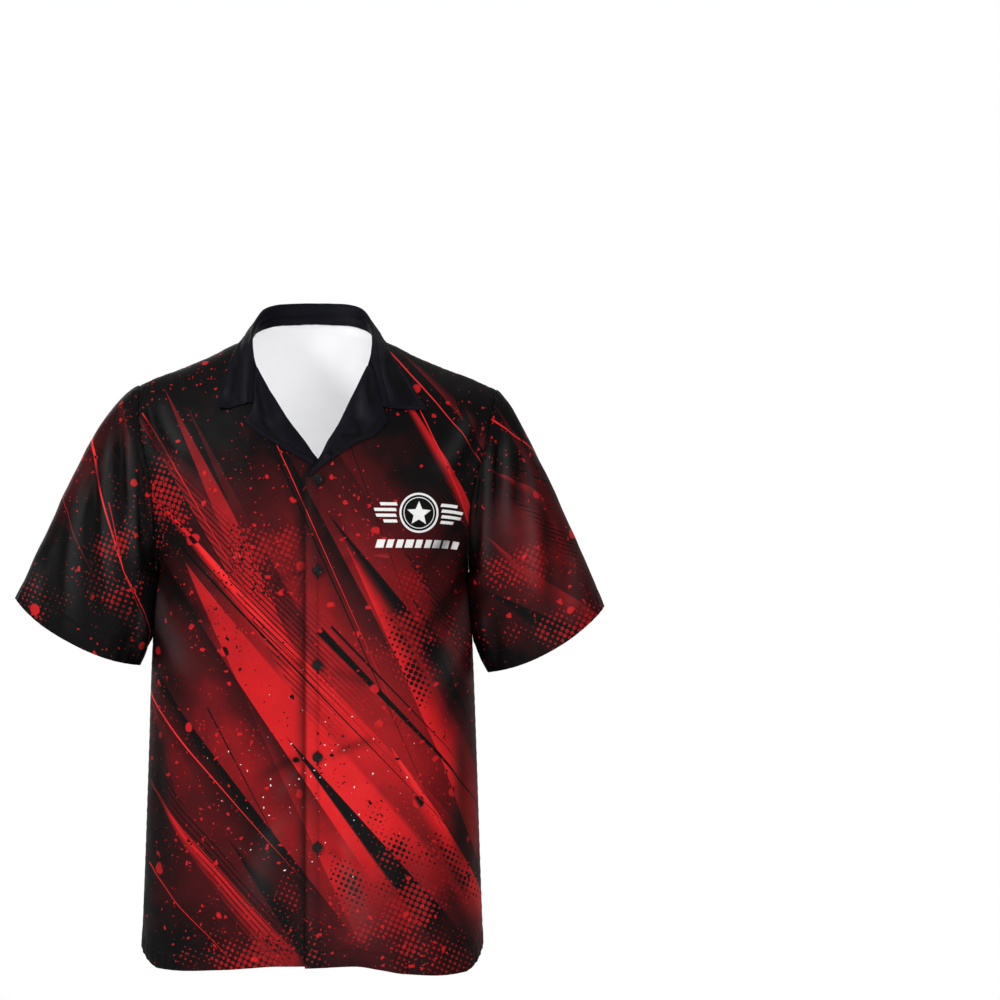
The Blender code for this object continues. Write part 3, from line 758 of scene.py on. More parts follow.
def half_panel(side, panel, inner_x, inner_z, outer_z, shares):
    """Half a panel: a row for each pair of heights, from its inner end out to the side seam or armhole."""
    sign, back = SIGNS[side], panel == "back"
    inner_x, inner_z, outer_z = (np.asarray(v, float)[:, None] for v in (inner_x, inner_z, outer_z))
    outer_x = read(TORSO, side, outer_z)
    power = ROUNDNESS / 2
    inner_angle = np.arcsin(signed_power(inner_x / reach_at(side, inner_z), power))
    outer_angle = np.arcsin(np.minimum(1, (outer_x / reach_at(side, outer_z)) ** power))
    across = signed_power(np.sin(inner_angle + (outer_angle - inner_angle) * shares), 1 / power)
    lift = (outer_z - HEM) / (SHOULDER_TIPS[side] - HEM)
    level = inner_z + (outer_z - inner_z) * shares
    drop = (shoulder_height(inner_x, back, *BACK_NECK) - inner_z) * (1 - shares)
    drop = drop + (shoulder_height(outer_x, back, *BACK_NECK) - outer_z) * shares
    fall = np.clip((ARMPIT - outer_z) / (ARMPIT - HEM), 0, 1) ** 2
    hem = fall * (read(HEMS, panel, shares) - HEM)
    height = level
    for _ in range(4):
        x = reach_at(side, height) * across
        height = (1 - lift) * level + lift * (shoulder_height(x, back, *BACK_NECK) - drop) + hem
    depth = depth_at(sign * x, height, back)
    return np.stack([sign * x, depth if back else -depth, height], axis=-1)


def panel_rows(side):
    """Heights of the fine rows at the outer and inner end of a front, closer together at hem and seam."""
    outer = FRONT_ROWS["outer"]
    stretch = (SHOULDER_TIPS[side] - ARMPIT) / (SHOULDER_END - ARMPIT)
    outer = np.where(outer > ARMPIT, ARMPIT + (outer - ARMPIT) * stretch, outer)
    rows = {"number": np.arange(len(outer), dtype=float), "outer": outer, "inner": FRONT_ROWS["inner"]}
    fine = np.linspace(0, len(outer) - 1, 2000)
    level = (read(rows, "outer", fine) + read(rows, "inner", fine)) / 2
    wanted = level[0] + (level[-1] - level[0]) * spread(PANEL_ROWS)
    at = np.interp(wanted, level, fine)
    return read(rows, "outer", at), read(rows, "inner", at)


def front_grid(side):
    """Smooth outer face of a front, rows from the hem up, columns from the front edge out."""
    cut = "over" if side == "left" else "under"
    outer_z, inner_z = panel_rows(side)
    inner_x = read(FRONT_EDGE, cut, inner_z)
    grid = half_panel(side, cut, inner_x, inner_z, outer_z, spread(FRONT_COLUMNS))
    if side == "right":
        grid[..., 1] += OVERLAP_RECESS * ease((grid[..., 0] + 75) / 50)
    return grid


def back_halves():
    """Smooth outer faces of the back's two halves, columns from the middle out."""
    even = np.linspace(0, 1, FRONT_COLUMNS)
    shares = 1 - (1 - even) * (1 + CROWDING * even)
    halves = {}
    for side in SIGNS:
        outer_z = panel_rows(side)[0]
        up = (outer_z - HEM) / (SHOULDER_TIPS[side] - HEM)
        inner_z = HEM + up * (NECK_HEIGHT + BACK_NECK[0] - HEM)
        halves[side] = half_panel(side, "back", 0 * inner_z, inner_z, outer_z, shares)
    middle = (halves["left"][:, 0] + halves["right"][:, 0]) / 2
    for half in halves.values():
        half[:, 0] = middle
    return halves


def soften_neck_ends(grid, to_top):
    """Softens the edge that would run down the back from each end of the neck seam."""
    near = bell(np.abs(grid[..., 0]) - NECK_HALF, 30)
    share = (near * ease((to_top - 1) / 12) * ease((120 - to_top) / 60))[:, 1:-1, None]
    grid = grid.copy()
    for _ in range(120):
        grid[:, 1:-1] += share * ((grid[:, :-2] + grid[:, 2:]) / 2 - grid[:, 1:-1]) / 2
    return grid


def lift_neck(grid, to_top):
    """Turns the back's upper edge up beside the neck."""
    out = np.abs(grid[..., 0])
    share = ease((NECK_HALF - out) / 1.6) * ease((out - 15) / 45) * ease(1 - to_top / 14)
    return grid + (NECK_LIFT * share)[..., None] * (0, 0, 1)


def print_places(x, z, across, up, light):
    """Where the points of a panel lie in the print: as seen from the front, a little as on the flat cloth."""
    return np.stack([x + FLAT_SHARE * (across - x), z + FLAT_SHARE * (up - z), light], axis=-1)


def normals_of(grid):
    """Unit normals of a grid of points, towards the side from which columns run left to right going up."""
    return unit(np.cross(np.gradient(grid, axis=1), np.gradient(grid, axis=0)))


# Folds, creases and seams, as heights out of the cloth and as painted light and shade


def body_folds(x, height, where):
    """The soft hanging folds of the body, clear of the buttoned overlap."""
    total = np.zeros(np.shape(x))
    for middle, width, rise, low, high in zip(*BODY_FOLDS[where].values()):
        total = total + rise * bell(x - middle, width) * (1 - ease((height - low) / (high - low)))
    if where == "front":
        total = total * ease((np.abs(x - BUTTON_LINE) - 28) / 30)
    return total


def creases(x, z, where):
    """Creases drawn on the cloth as seen from the front or the back."""
    total = np.zeros(np.shape(x))
    for x0, z0, x1, z1, bow, width, height in zip(*CREASES[where].values()):
        length = math.hypot(x1 - x0, z1 - z0)
        run = ((x1 - x0) / length, (z1 - z0) / length)
        along = ((x - x0) * run[0] + (z - z0) * run[1]) / length
        away = (x - x0) * run[1] - (z - z0) * run[0] - bow * 4 * along * (1 - along)
        widening = width * (0.7 + 0.6 * np.clip(along, 0, 1))
        ends = ease((along + 0.08) / 0.35) * ease((1.08 - along) / 0.45)
        total = total + height * bell(away, widening) * ends
    return total


def pressed_flat(rise, x, z):
    """Takes away what stands out of the body where a sleeve rests on it."""
    out, end = SLEEVE_REST
    under_sleeve = ease((np.abs(x) - out) / 14) * ease((ARMPIT + 6 - z) / 14) * ease((z - end) / 24)
    return rise - np.maximum(rise, 0) * under_sleeve


def unevenness(across, up, seed):
    """The slight waves that cloth is never free of."""
    total = np.zeros(np.shape(across))
    for i in range(UNEVEN_WAVES):
        turn = seed * 1.7 + i * 2.4
        length = UNEVEN_LENGTH / (1 + 0.55 * i)
        phase = (across * math.cos(turn) + up * math.sin(turn)) / length * 2 * np.pi
        total = total + UNEVEN_HEIGHT * (length / UNEVEN_LENGTH) ** 1.2 * np.sin(phase + seed + i * i)
    return total


def pucker(along, away, height, reach):
    """Small ripples square to a seam or a hem."""
    coarse, drift, fine = PUCKER_LENGTHS
    turn = 2 * np.pi * along
    waves = np.sin(turn / coarse + 1.5 * np.sin(along / drift)) + 0.6 * np.sin(turn / fine)
    return height * waves * bell(away, reach)


def seam_dip(away):
    """The rounding of the cloth into a seam."""
    depth, width = SEAM_DIP
    return depth * bell(away, width)


def shade_line(away, width, depth):
    """A soft line of painted shade along a seam or a row of stitches."""
    return -depth * bell(away, width)


def stitched_line(away, distance, depth=0.32):
    """The dent that a row of stitches pulls, at a distance from an edge, and the soft ridge beyond it."""
    return 0.7 * depth * bell(away - distance * 0.5, distance * 0.35) - depth * bell(away - distance, 1.4)


def relief(x, z, across, up, to_side, where, seed, sizes, loose=1.0, free=1.0):
    """Height out of a front or the back, and at each point the painted light and shade of its folds, with
    painted shade along its seams and hem stitches.

    loose is 0 where the collar holds the panel flat, and free is 0 at its front edge.
    """
    to_hem, to_top = up - up[:1], up[-1:] - up
    hem = sizes.body_hem / MM
    drawn = sizes.crease_depth * creases(x, z, where) * ease(to_side / 12) * ease(to_top / 30) * loose
    waves = unevenness(across, up, seed) * ease(to_side / 40) * ease(to_top / 50) * loose * free
    rise = pressed_flat(body_folds(x, z, where) * ease(to_side / 30) + drawn + waves, x, z)
    rise = rise + seam_dip(to_side) + seam_dip(to_top) + pucker(up, to_side, 0.22, 8)
    rise = rise + pucker(across, to_top, 0.18, 8) * loose
    rise = rise + pucker(across, to_hem, 0.4, hem) * ease(to_side / 10) + stitched_line(to_hem, hem)
    light = drawn / FULL_FOLD + shade_line(to_side, *SIDE_SHADE) + shade_line(to_top, *SHOULDER_SHADE)
    return rise, light + shade_line(to_hem - hem, *HEM_SHADE)


# Walls, thread and other meshes


def perimeter(rows, columns):
    """Numbers of a grid's edge points in order, going round to the left of each piece of cloth."""
    bottom = np.arange(columns)
    right = np.arange(1, rows) * columns + columns - 1
    top = (rows - 1) * columns + np.arange(columns - 2, -1, -1)
    left = np.arange(rows - 2, 0, -1) * columns
    return np.concatenate([bottom, right, top, left])


def cloth(name, grid, thickness, places, finishes, white_top=0):
    """A thin wall of cloth with round edges.

    places gives each point's place in the print, in millimetres, and the painted light and shade of a fold
    there, from -1, painted shade in a trough or a seam, to 1, a painted highlight on a ridge. white_top is
    half the width over which the upper edge is white.
    """
    rows, columns = grid.shape[:2]
    normal = normals_of(grid)
    inner = grid - normal * thickness
    edge = perimeter(rows, columns)
    outer_edge, inner_edge = grid.reshape(-1, 3)[edge], inner.reshape(-1, 3)[edge]
    tangent = np.roll(outer_edge, -1, axis=0) - np.roll(outer_edge, 1, axis=0)
    outward = unit(np.cross(tangent, normal.reshape(-1, 3)[edge]))
    middle = (outer_edge + inner_edge) / 2
    half = np.linalg.norm(outer_edge - middle, axis=-1, keepdims=True)
    rim = []
    for turn in (45, 90, 135):
        angle = math.radians(turn)
        rim.append(middle + (outer_edge - middle) * math.cos(angle) + outward * half * math.sin(angle))
    points = np.concatenate([grid.reshape(-1, 3), inner.reshape(-1, 3), *rim])
    count = rows * columns
    at = np.arange(count).reshape(rows, columns)
    quads = np.stack([at[:-1, :-1], at[:-1, 1:], at[1:, 1:], at[1:, :-1]], axis=-1).reshape(-1, 4)
    rings = [edge] + [2 * count + i * len(edge) + np.arange(len(edge)) for i in range(3)] + [edge + count]
    strips = []
    for ring, following in zip(rings[:-1], rings[1:]):
        strips.append(np.stack([np.roll(ring, -1), ring, following, np.roll(following, -1)], axis=-1))
    faces = np.concatenate([quads, quads[:, ::-1] + count, *strips])
    at_top = np.zeros(len(edge))
    top = np.s_[columns + rows - 2 : 2 * columns + rows - 2]
    at_top[top] = np.abs(outer_edge[top, 0]) < white_top
    sides = np.concatenate([np.zeros(len(quads)), np.ones(len(quads)), np.tile(at_top, 4)]).astype(int)
    flat = places.reshape(-1, 3)
    flat = np.concatenate([flat, flat, flat[edge], flat[edge], flat[edge]])
    light = np.clip(flat[:, 2], -1, 1)
    light[count : 2 * count] = 0
    flat[:, 2] = 1
    made = mesh_object(name, points, faces, finishes, sides)
    spot = made.data.attributes.new("print_at", "FLOAT_VECTOR", "POINT")
    spot.data.foreach_set("vector", (flat * MM).astype(np.float32).ravel())
    fold = made.data.attributes.new("fold_light", "FLOAT", "POINT")
    fold.data.foreach_set("value", light.astype(np.float32))
    return made


def place_in_scene(name, data):
    made = bpy.data.objects.new(name, data)
    bpy.context.scene.collection.objects.link(made)
    return made


def mesh_object(name, points, faces, finishes, sides=None, crisp=60.0):
    """An object made of these points, in millimetres, and faces, smooth up to an angle in degrees."""
    mesh = bpy.data.meshes.new(name)
    mesh.from_pydata((np.asarray(points) * MM).tolist(), [], [list(map(int, face)) for face in faces])
    for finish in finishes:
        mesh.materials.append(finish)
    if sides is not None:
        mesh.polygons.foreach_set("material_index", sides)
    mesh.update()
    mesh.shade_smooth()
    mesh.set_sharp_from_angle(angle=math.radians(crisp))
    return place_in_scene(name, mesh)


def turned(values, edge):
    """An array of a grid's values, turned so that the named edge is its first row."""
    if edge in ("first", "last"):
        values = np.swapaxes(values, 0, 1)
    return values[::-1] if edge in ("top", "last") else values


def turned_back(values, edge):
    values = values[::-1] if edge in ("top", "last") else values
    return np.swapaxes(values, 0, 1) if edge in ("first", "last") else values


def pull_in(grid, edges):
    """Moves the named edges of a grid back into the cloth, to leave room at a seam."""
    grid = grid.copy()
    for edge in edges:
        rows = turned(grid, edge)
        rows[0] += unit(rows[2] - rows[0]) * SEAM_PULL
    return grid


def lapped(grid, places, thick, edges):
    """Carries a panel on past its edges, as the under ply of a seam that lies beneath the next panel.

    edges gives, for each named edge, how much of the full lap it has along its length, from 0 to 1.
    """
    for edge, reach in edges.items():
        points, flat, wall = (turned(values, edge) for values in (grid, places, thick))
        normal = turned(normals_of(grid), edge)[:3].mean(axis=0)
        for _ in range(6):
            normal[1:-1] = (normal[:-2] + 2 * normal[1:-1] + normal[2:]) / 4
        normal = unit(normal)
        onward = unit(np.cross(normal, np.gradient(points[0], axis=0)))
        onward = onward if edge in ("top", "first") else -onward
        reach = np.broadcast_to(np.maximum(reach, 0.03), len(onward))[:, None]
        under = np.stack([points[0] + (onward * out - normal * deep) * reach for out, deep in LAP[::-1]])
        points = np.concatenate([under, points])
        flat, wall = (np.concatenate([np.repeat(v[:1], len(LAP), axis=0), v]) for v in (flat, wall))
        grid, places, thick = (turned_back(values, edge) for values in (points, flat, wall))
    return grid, places, thick


def inset_line(grid, edge, distance):
    """Points and normals on a grid at a distance from one of its edges."""
    rows = np.concatenate([turned(grid, edge), turned(normals_of(grid), edge)], axis=-1)
    away = travelled(rows[..., :3])
    line = [interpolated(distance, away[:, i], rows[:, i]) for i in range(rows.shape[1])]
    return np.split(np.array(line), 2, axis=1)


def thread(name, runs, sizes, finish):
    """Rows of stitches along runs of points and normals, each a small spindle that dips at its ends."""
    length, gap = sizes.stitch_length / MM, sizes.stitch_gap / MM
    parts = []
    for points, normals in runs:
        along = travelled(points)
        at = gap + np.arange(int((along[-1] - gap) / (length + gap))) * (length + gap)
        wanted = ((at, points), (at + length, points), (at + length / 2, normals))
        parts.append([interpolated(where, along, values) for where, values in wanted])
    starts, ends, ups = (np.concatenate(part) for part in zip(*parts))
    return stitches(name, starts, ends, ups, sizes.thread_width / MM / 2, finish)


def stitches(name, starts, ends, ups, radius, finish):
    """Spindles of thread from starts to ends, their ends sunk in the cloth that lies square to ups."""
    ups, run = unit(ups), ends - starts
    side = unit(np.cross(run, ups))
    rings = []
    for share, width, rise in STITCH_PROFILE:
        for spoke in spokes(side, ups, 6):
            rings.append(starts + run * share + ups * radius * rise + spoke * radius * width)
    return tubes(name, np.stack(rings, axis=1), 6, finish)


def spokes(side, up, around):
    """Unit steps out from the middle of a ring, going round it."""
    for i in range(around):
        turn = 2 * math.pi * i / around
        yield side * math.cos(turn) + up * math.sin(turn)


def tubes(name, rings, around, finish):
    """Closed tubes: a row of points for each one, as rings of this many points from end to end."""
    last = rings.shape[1] - around
    faces = []
    for first in range(0, last, around):
        for i in range(around):
            a, b = first + i, first + (i + 1) % around
            faces.append((a, b, b + around, a + around))
    faces += [tuple(reversed(range(around))), tuple(range(last, last + around))]
    every = []
    for shift in range(0, rings.shape[0] * rings.shape[1], rings.shape[1]):
        every.extend([tuple(corner + shift for corner in face) for face in faces])
    return mesh_object(name, rings.reshape(-1, 3), every, [finish], crisp=80.0)


def dress(piece, nodes=()):
    """Lets a piece ride with the shirt and stand for its solids."""
    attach(piece, BODY)
    if nodes:
        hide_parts(*nodes)
    return piece


def cut_size(grid):
    """(width, length) in metres and area in square metres of the flat cut of a grid of smooth cloth."""
    width, length = travelled(grid, 1).max(), travelled(grid).max()
    a, b, c, d = grid[:-1, :-1], grid[:-1, 1:], grid[1:, :-1], grid[1:, 1:]
    area = np.linalg.norm(np.cross(b - a, c - a), axis=-1) + np.linalg.norm(np.cross(b - d, c - d), axis=-1)
    return (float(width * MM), float(length * MM)), float(area.sum() / 2 * MM * MM)


# Pieces of cloth


def make_front(side, sizes, look):
    sign, cut, seam_edge = (1, "over", "last") if side == "left" else (-1, "under", "first")
    smooth = front_grid(side)
    across = sign * smooth[:, :1, 0] + travelled(smooth, 1)
    up = smooth[:1, :, 2] + travelled(smooth)
    measures = (smooth, across, up, across[:, -1:] - across, across - across[:, :1])
    grid, across, up, to_side, to_edge = (v[:, ::sign] for v in measures)
    normal, x, z = normals_of(grid), grid[..., 0], grid[..., 2]
    loose = 1 - ease((z + 128) / 50) * ease((135 - np.abs(x)) / 40)
    free = ease(to_edge / 30)
    rise, light = relief(x, z, across, up, to_side, "front", 1 + sign, sizes, loose, free)
    below = ease((OPENING_END - z) / 10)
    if side == "right":
        covered = ease((COVER_TOP - z) / 5)
        past_edge = x - read(FRONT_EDGE, "over", z)
        rise = rise - 1.5 * bell(past_edge + 3.5, 2.2) * below
        # Painted shadow on the right front along the left front's edge above it
        for past, width, depth in COVERED_SHADES:
            light = light + shade_line(past_edge + past, width, depth) * covered
    else:
        line = np.abs(x - BUTTON_LINE)
        rise = rise + (0.5 * bell(to_edge - 5, 4) - 0.6 * bell(line, 2.0)) * below
        # Painted shade along the button line and the front edge, and a painted highlight just inside the edge
        edges = shade_line(line, *BUTTON_LINE_SHADE) + shade_line(to_edge, *FRONT_EDGE_SHADE)
        light = light + (edges + 0.25 * bell(to_edge - 4.5, 2.5)) * below
        for height in BUTTON_HEIGHTS:
            rise = rise - 0.5 * bell(line, 9) * bell(z - height, 9) * below
    grid = pull_in(grid + normal * rise[..., None], (seam_edge, "top"))
    hem, to_hem = sizes.body_hem / MM, up - up[:1]
    hem_line = inset_line(grid, "bottom", hem)
    thick = 1 + 0.5 * ease((hem - to_hem) / 1.5) + 0.4 * ease((30 - to_edge) / 4)
    thick = thick[..., None] * sizes.cloth_thickness / MM
    side_seam = ease((ARMPIT - 1 - turned(grid, seam_edge)[0, :, 2]) / 4)
    shoulder = ease((np.abs(x[-1]) - NECK_HALF - 0.5) / 4)
    laps = {"top": shoulder, seam_edge: np.pad(side_seam, (0, len(LAP)), "edge")}
    grid, places, thick = lapped(grid, print_places(x, z, sign * across, up, light), thick, laps)
    finish = look["badge"] if side == "left" else look["print"]
    piece = cloth(f"front_{side}", grid, thick, places, [finish, look["inside"]])
    dress(piece, [f"front_{side}_{cut}"])
    seam = dress(thread(f"stitches_front_{side}", [hem_line], sizes, look["thread"]))
    flat, area = cut_size(smooth)


def make_back(sizes, look):
    halves = []
    for side, grid in back_halves().items():
        across = travelled(grid, 1)
        up = grid[:1, :, 2] + travelled(grid)
        halves.append((grid, SIGNS[side] * across, up, across[:, -1:] - across))
    joined = (np.concatenate([left[:, ::-1], right[:, 1:]], axis=1) for right, left in zip(*halves))
    smooth, across, up, to_side = joined
    to_hem, to_top = up - up[:1], up[-1:] - up
    grid = lift_neck(soften_neck_ends(smooth, to_top), to_top)
    x, z = grid[..., 0], grid[..., 2]
    rise, light = relief(x, z, across, up, to_side, "back", 5, sizes)
    grid = pull_in(grid + normals_of(grid) * rise[..., None], ("first", "last", "top"))
    hem = sizes.body_hem / MM
    hem_line = inset_line(grid, "bottom", hem)
    thick = (1 + 0.5 * ease((hem - to_hem) / 1.5))[..., None] * sizes.cloth_thickness / MM
    places = print_places(x, z, across, up, light)
    finishes = [look["bars"], look["inside"]]
    piece = cloth("back_panel", grid, thick, places, finishes, white_top=NECK_HALF - 2)
    dress(piece, ["back"])
    seam = dress(thread("stitches_back", [hem_line], sizes, look["thread"]))
    flat, area = cut_size(smooth)


def armhole_ring(side, turns):
    """The armhole, with the sleeve's seam just outside it."""
    sign, top = SIGNS[side], SHOULDER_TIPS[side]
    middle = (top + ARMPIT) / 2
    z = middle + (top - middle) * np.cos(2 * np.pi * turns)
    x = read(TORSO, side, z)
    in_front = np.sin(2 * np.pi * turns) >= 0
    y = np.where(in_front, -depth_at(sign * x, z, False), depth_at(sign * x, z, True))
    return np.stack([x + ARMHOLE_OUT, y, z], axis=-1)


def sleeve_grid(side, turns):
    """Smooth outer face of a sleeve for the wearer's left arm, rows from the armhole down to the cuff."""
    rows = np.stack(list(SLEEVES[side].values()), axis=-1)
    numbers = np.arange(len(rows), dtype=float)
    fine = through(rows, numbers, spread(SLEEVE_ROWS) * numbers[-1])[:, None]
    along = spread(SLEEVE_ROWS)[:, None, None]
    outer, inner = fine[..., [0, 0, 1]] * (1, 0, 1), fine[..., [2, 2, 3]] * (1, 0, 1)
    reach = outer - inner
    axis = unit(reach[..., ::-1] * (1, 0, -1))
    cosine, sine = (signed_power(f(2 * np.pi * turns), 0.92)[:, None] for f in (np.cos, np.sin))
    grid = (outer + inner) / 2 + reach / 2 * cosine + fine[..., 4:] * (0, -1, 0) * sine
    grid = grid + axis * CUFF_DROOP * along**1.5 * sine**2
    return grid + (armhole_ring(side, turns) - grid[0]) * (1 - ease(along / 0.5))


def sleeve_places(grid, middle, around):
    """Where a left sleeve's points lie in the print: its front as seen, its back turned out beside it."""
    seen = grid[..., [0, 2]]
    start, end = seen[0, middle], seen[-1, middle]
    down = unit(end - start)
    inward = np.array([down[1], -down[0]])
    along, out = (seen - start) @ down, (seen - start) @ inward
    edge = out[:, middle : middle + 1]
    out = (out - edge) + FLAT_SHARE * (np.abs(around) - (out - edge))
    out = edge + np.where(around < 0, -out, out)
    return start + along[..., None] * down + out[..., None] * inward


def sleeve_folds(turns, along):
    """The hanging folds of a sleeve."""
    total = 0
    for place, width, height, start, end in zip(*SLEEVE_FOLDS.values()):
        away = (turns - place + 0.5) % 1 - 0.5
        stretch = np.clip(1 - ((along - (start + end) / 2) / ((end - start) / 2)) ** 2, 0, 1)
        total = total + height * bell(away, width) * stretch
    return total


def wrap_body(grid, turns, side):
    """Presses the inner side of a hanging sleeve round the side of the body, to leave no gap."""
    sign = SIGNS[side]
    x, y, z = grid[..., 0] * sign, grid[..., 1], grid[..., 2]
    full = np.where(y < 0, read(TORSO, "front", z), read(TORSO, "back", z))
    body = read(TORSO, side, z) * rounded(np.abs(y) / full) + BODY_CLEARANCE
    share = ease((-np.cos(2 * np.pi * turns) - 0.3) / 0.5) * ease((ARMPIT - z) / 8)
    share = share * ease((z - PRESS_END) / 25)
    pressed = np.maximum(x - PRESS * share, np.minimum(x, body))
    pressed = pressed + np.maximum(body - pressed, 0) * share
    return np.stack([pressed * sign, y, z], axis=-1)


def into_armhole(grid, places, thick, side):
    """Carries a sleeve on past its upper edge, through the armhole and in behind the body's edge."""
    ring = grid[-1]
    middle = (0, 0, (SHOULDER_TIPS[side] + ARMPIT) / 2)
    inward = unit((middle - ring) * (0, 1, 1))
    across = np.array((-SIGNS[side], 0, 0))
    under = np.stack([ring + across * out + inward * deep for out, deep in LAP])
    places, thick = (np.concatenate([v, np.repeat(v[-1:], len(LAP), axis=0)]) for v in (places, thick))
    return np.concatenate([grid, under]), places, thick


def make_sleeve(side, sizes, look):
    sign = SIGNS[side]
    turns = np.linspace(-0.5, 0.5, SLEEVE_COLUMNS)
    smooth = sleeve_grid(side, turns)
    middle = SLEEVE_COLUMNS // 2
    around, down = travelled(smooth, 1), travelled(smooth)
    around = around - around[:, middle : middle + 1]
    to_cuff = down[-1:] - down
    places = sleeve_places(smooth, middle, around)
    along = spread(SLEEVE_ROWS)[:, None]
    x, z = smooth[..., 0] * sign, smooth[..., 2]
    front = np.clip(0.5 + 1.4 * np.sin(2 * np.pi * turns), 0, 1)
    drawn = front * creases(x, z, f"{side} sleeve front")
    drawn = drawn + (1 - front) * creases(x, z, f"{side} sleeve back")
    calm = ease(along / 0.12) * ease((0.5 - np.abs(turns)) / 0.03)
    drawn = sizes.crease_depth * drawn * calm
    hem = sizes.cuff_hem / MM
    rise = (sleeve_folds(turns, along) * 0.7 + unevenness(around, down, 8 + sign)) * calm + drawn
    rise = rise + seam_dip(down) + pucker(around, down, 0.3, 9)
    rise = rise + pucker(around, to_cuff, 0.3, hem) + stitched_line(to_cuff, hem)
    # Painted shade along the armhole seam and the cuff's stitches, with the folds' painted light and shade
    light = drawn / FULL_FOLD + shade_line(down, *ARMHOLE_SHADE) + shade_line(to_cuff - hem, *CUFF_SHADE)
    places = np.concatenate([places * (sign, 1), light[..., None]], axis=-1)
    order = np.s_[::-1, ::-sign]
    measures = (smooth * (sign, 1, 1), rise, down, to_cuff, places)
    grid, rise, down, to_cuff, places = (v[order] for v in measures)
    moved = normals_of(grid) * rise[..., None]
    moved[..., 0] *= ease(down / 4)
    grid = pull_in(wrap_body(grid + moved, turns[::-sign], side), ("first", "last"))
    hem_line = inset_line(grid, "bottom", hem)
    thick = (1 + 0.6 * ease((hem - to_cuff) / 1.5))[..., None] * sizes.cloth_thickness / MM
    grid, places, thick = lapped(*into_armhole(grid, places, thick, side), {"first": 1.0})
    piece = cloth(f"{side}_sleeve", grid, thick, places, [look[f"{side} sleeve"], look["inside"]])
    dress(piece, [f"sleeve_{side}"])
    seam = dress(thread(f"stitches_sleeve_{side}", [hem_line], sizes, look["thread"]))
    flat, area = cut_size(smooth)


# Collar and lapels


def on_front(x, z, lift):
    """Points a given distance off the front's outer face, and the face's normals there."""
    step = 0.5
    y = -depth_at(x, z, False)
    slope_x = (depth_at(x - step, z, False) - depth_at(x + step, z, False)) / (2 * step)
    slope_z = (depth_at(x, z - step, False) - depth_at(x, z + step, False)) / (2 * step)
    normal = unit(np.stack([slope_x, -np.ones_like(y), slope_z], axis=-1))
    return np.stack([x, y, z], axis=-1) + normal * np.asarray(lift)[..., None], normal


def clear_of_shirt(points, lift):
    """Moves points that are nearer to the shirt than the lift straight out from it."""
    x, y, z = points[..., 0], points[..., 1], points[..., 2]
    moved = points.copy()
    for back in (False, True):
        side = y > 0 if back else y <= 0
        centre = shoulder_height(x, back, *BACK_DOME) - SHOULDER_DOME
        width = section_depth(x, z, back)
        up, out = (z - centre) / SHOULDER_DOME, y / width
        level = np.sqrt(up**2 + out**2)
        slope = np.sqrt((up / SHOULDER_DOME) ** 2 + (out / width) ** 2) / level
        wanted = 1 + lift * slope
        scale = np.where(side & (level < wanted) & (z > centre), wanted / level, 1)
        moved[..., 1] = np.where(side, y * scale, moved[..., 1])
        moved[..., 2] = np.where(side, centre + (z - centre) * scale, moved[..., 2])
    return moved


def make_lapel(side, sizes, look):
    data = LAPELS[side]
    roll = by_number(np.stack([data["roll_x"], data["roll_z"]], axis=-1), LAPEL_ROWS)
    edge = with_corners(np.stack([data["edge_x"], data["edge_z"]], axis=-1), LAPEL_ROWS)
    # 1 along the lower edge, from the corner on, and 0 along the notch.
    past_corner = ease((np.arange(LAPEL_ROWS) - np.argmax(edge[:, 0]) + 2) / 6)[:, None]
    shares = spread(LAPEL_COLUMNS)
    flat = roll[:, None] * (1 - shares)[:, None] + edge[:, None] * shares[:, None]
    width = np.linalg.norm(edge - roll, axis=-1)[:, None]
    x, z = SIGNS[side] * flat[..., 0], flat[..., 1]
    away, from_roll = (1 - shares) * width, shares * width
    inset = sizes.lapel_stitch / MM
    drawn = sizes.crease_depth * creases(x, z, "lapels") * ease(away / 5) * ease(from_roll / 6)
    # Painted shade along the lapel's stitched groove, with the folds' painted light and shade
    light = drawn / FULL_FOLD + shade_line(away - inset, *LAPEL_SHADE) * past_corner
    lift = PLY_LIFT + LAPEL_BULGE * np.sin(np.pi * shares) ** 0.8 * np.clip(width / 30, 0, 1) + drawn
    lift = lift + 0.5 * unevenness(x * 1.6, z * 1.6, 3) * ease(away / 8) * ease(from_roll / 8)
    face, normal = on_front(x, z, lift + stitched_line(away, inset, 0.5) * past_corner)
    inward = unit(face[:, 0] - face[:, 1])
    tuck = ease((roll[:, 1] - LAPEL_TUCK_END) / 26)[:, None]
    bend = []
    for out, drop in LAPEL_ROLL:
        bend.append(face[:, 0] + (inward * out - normal[:, 0] * drop) * tuck + inward * 0.02 * out)
    grid = np.concatenate([np.stack(bend, axis=1), face], axis=1)
    light = np.pad(light, ((0, 0), (len(bend), 0)), "edge")
    grid, light = (v[::-1, :: SIGNS[side]] for v in (grid, light))
    places = np.stack([grid[..., 0], grid[..., 2], light], axis=-1)
    thickness = sizes.facing_thickness / MM
    piece = cloth(f"{side}_lapel", grid, thickness, places, [look["collar"], look["collar"]])
    dress(piece, [f"lapel_{side}"])
    points, ups = inset_line(grid, "last" if side == "left" else "first", inset)
    sewn = ((width > 12) & (past_corner > 0.5))[::-1, 0]
    runs = [(points[sewn], ups[sewn])]
    seam = dress(thread(f"stitches_lapel_{side}", runs, sizes, look["collar thread"]))
    flat_size, area = cut_size(grid)


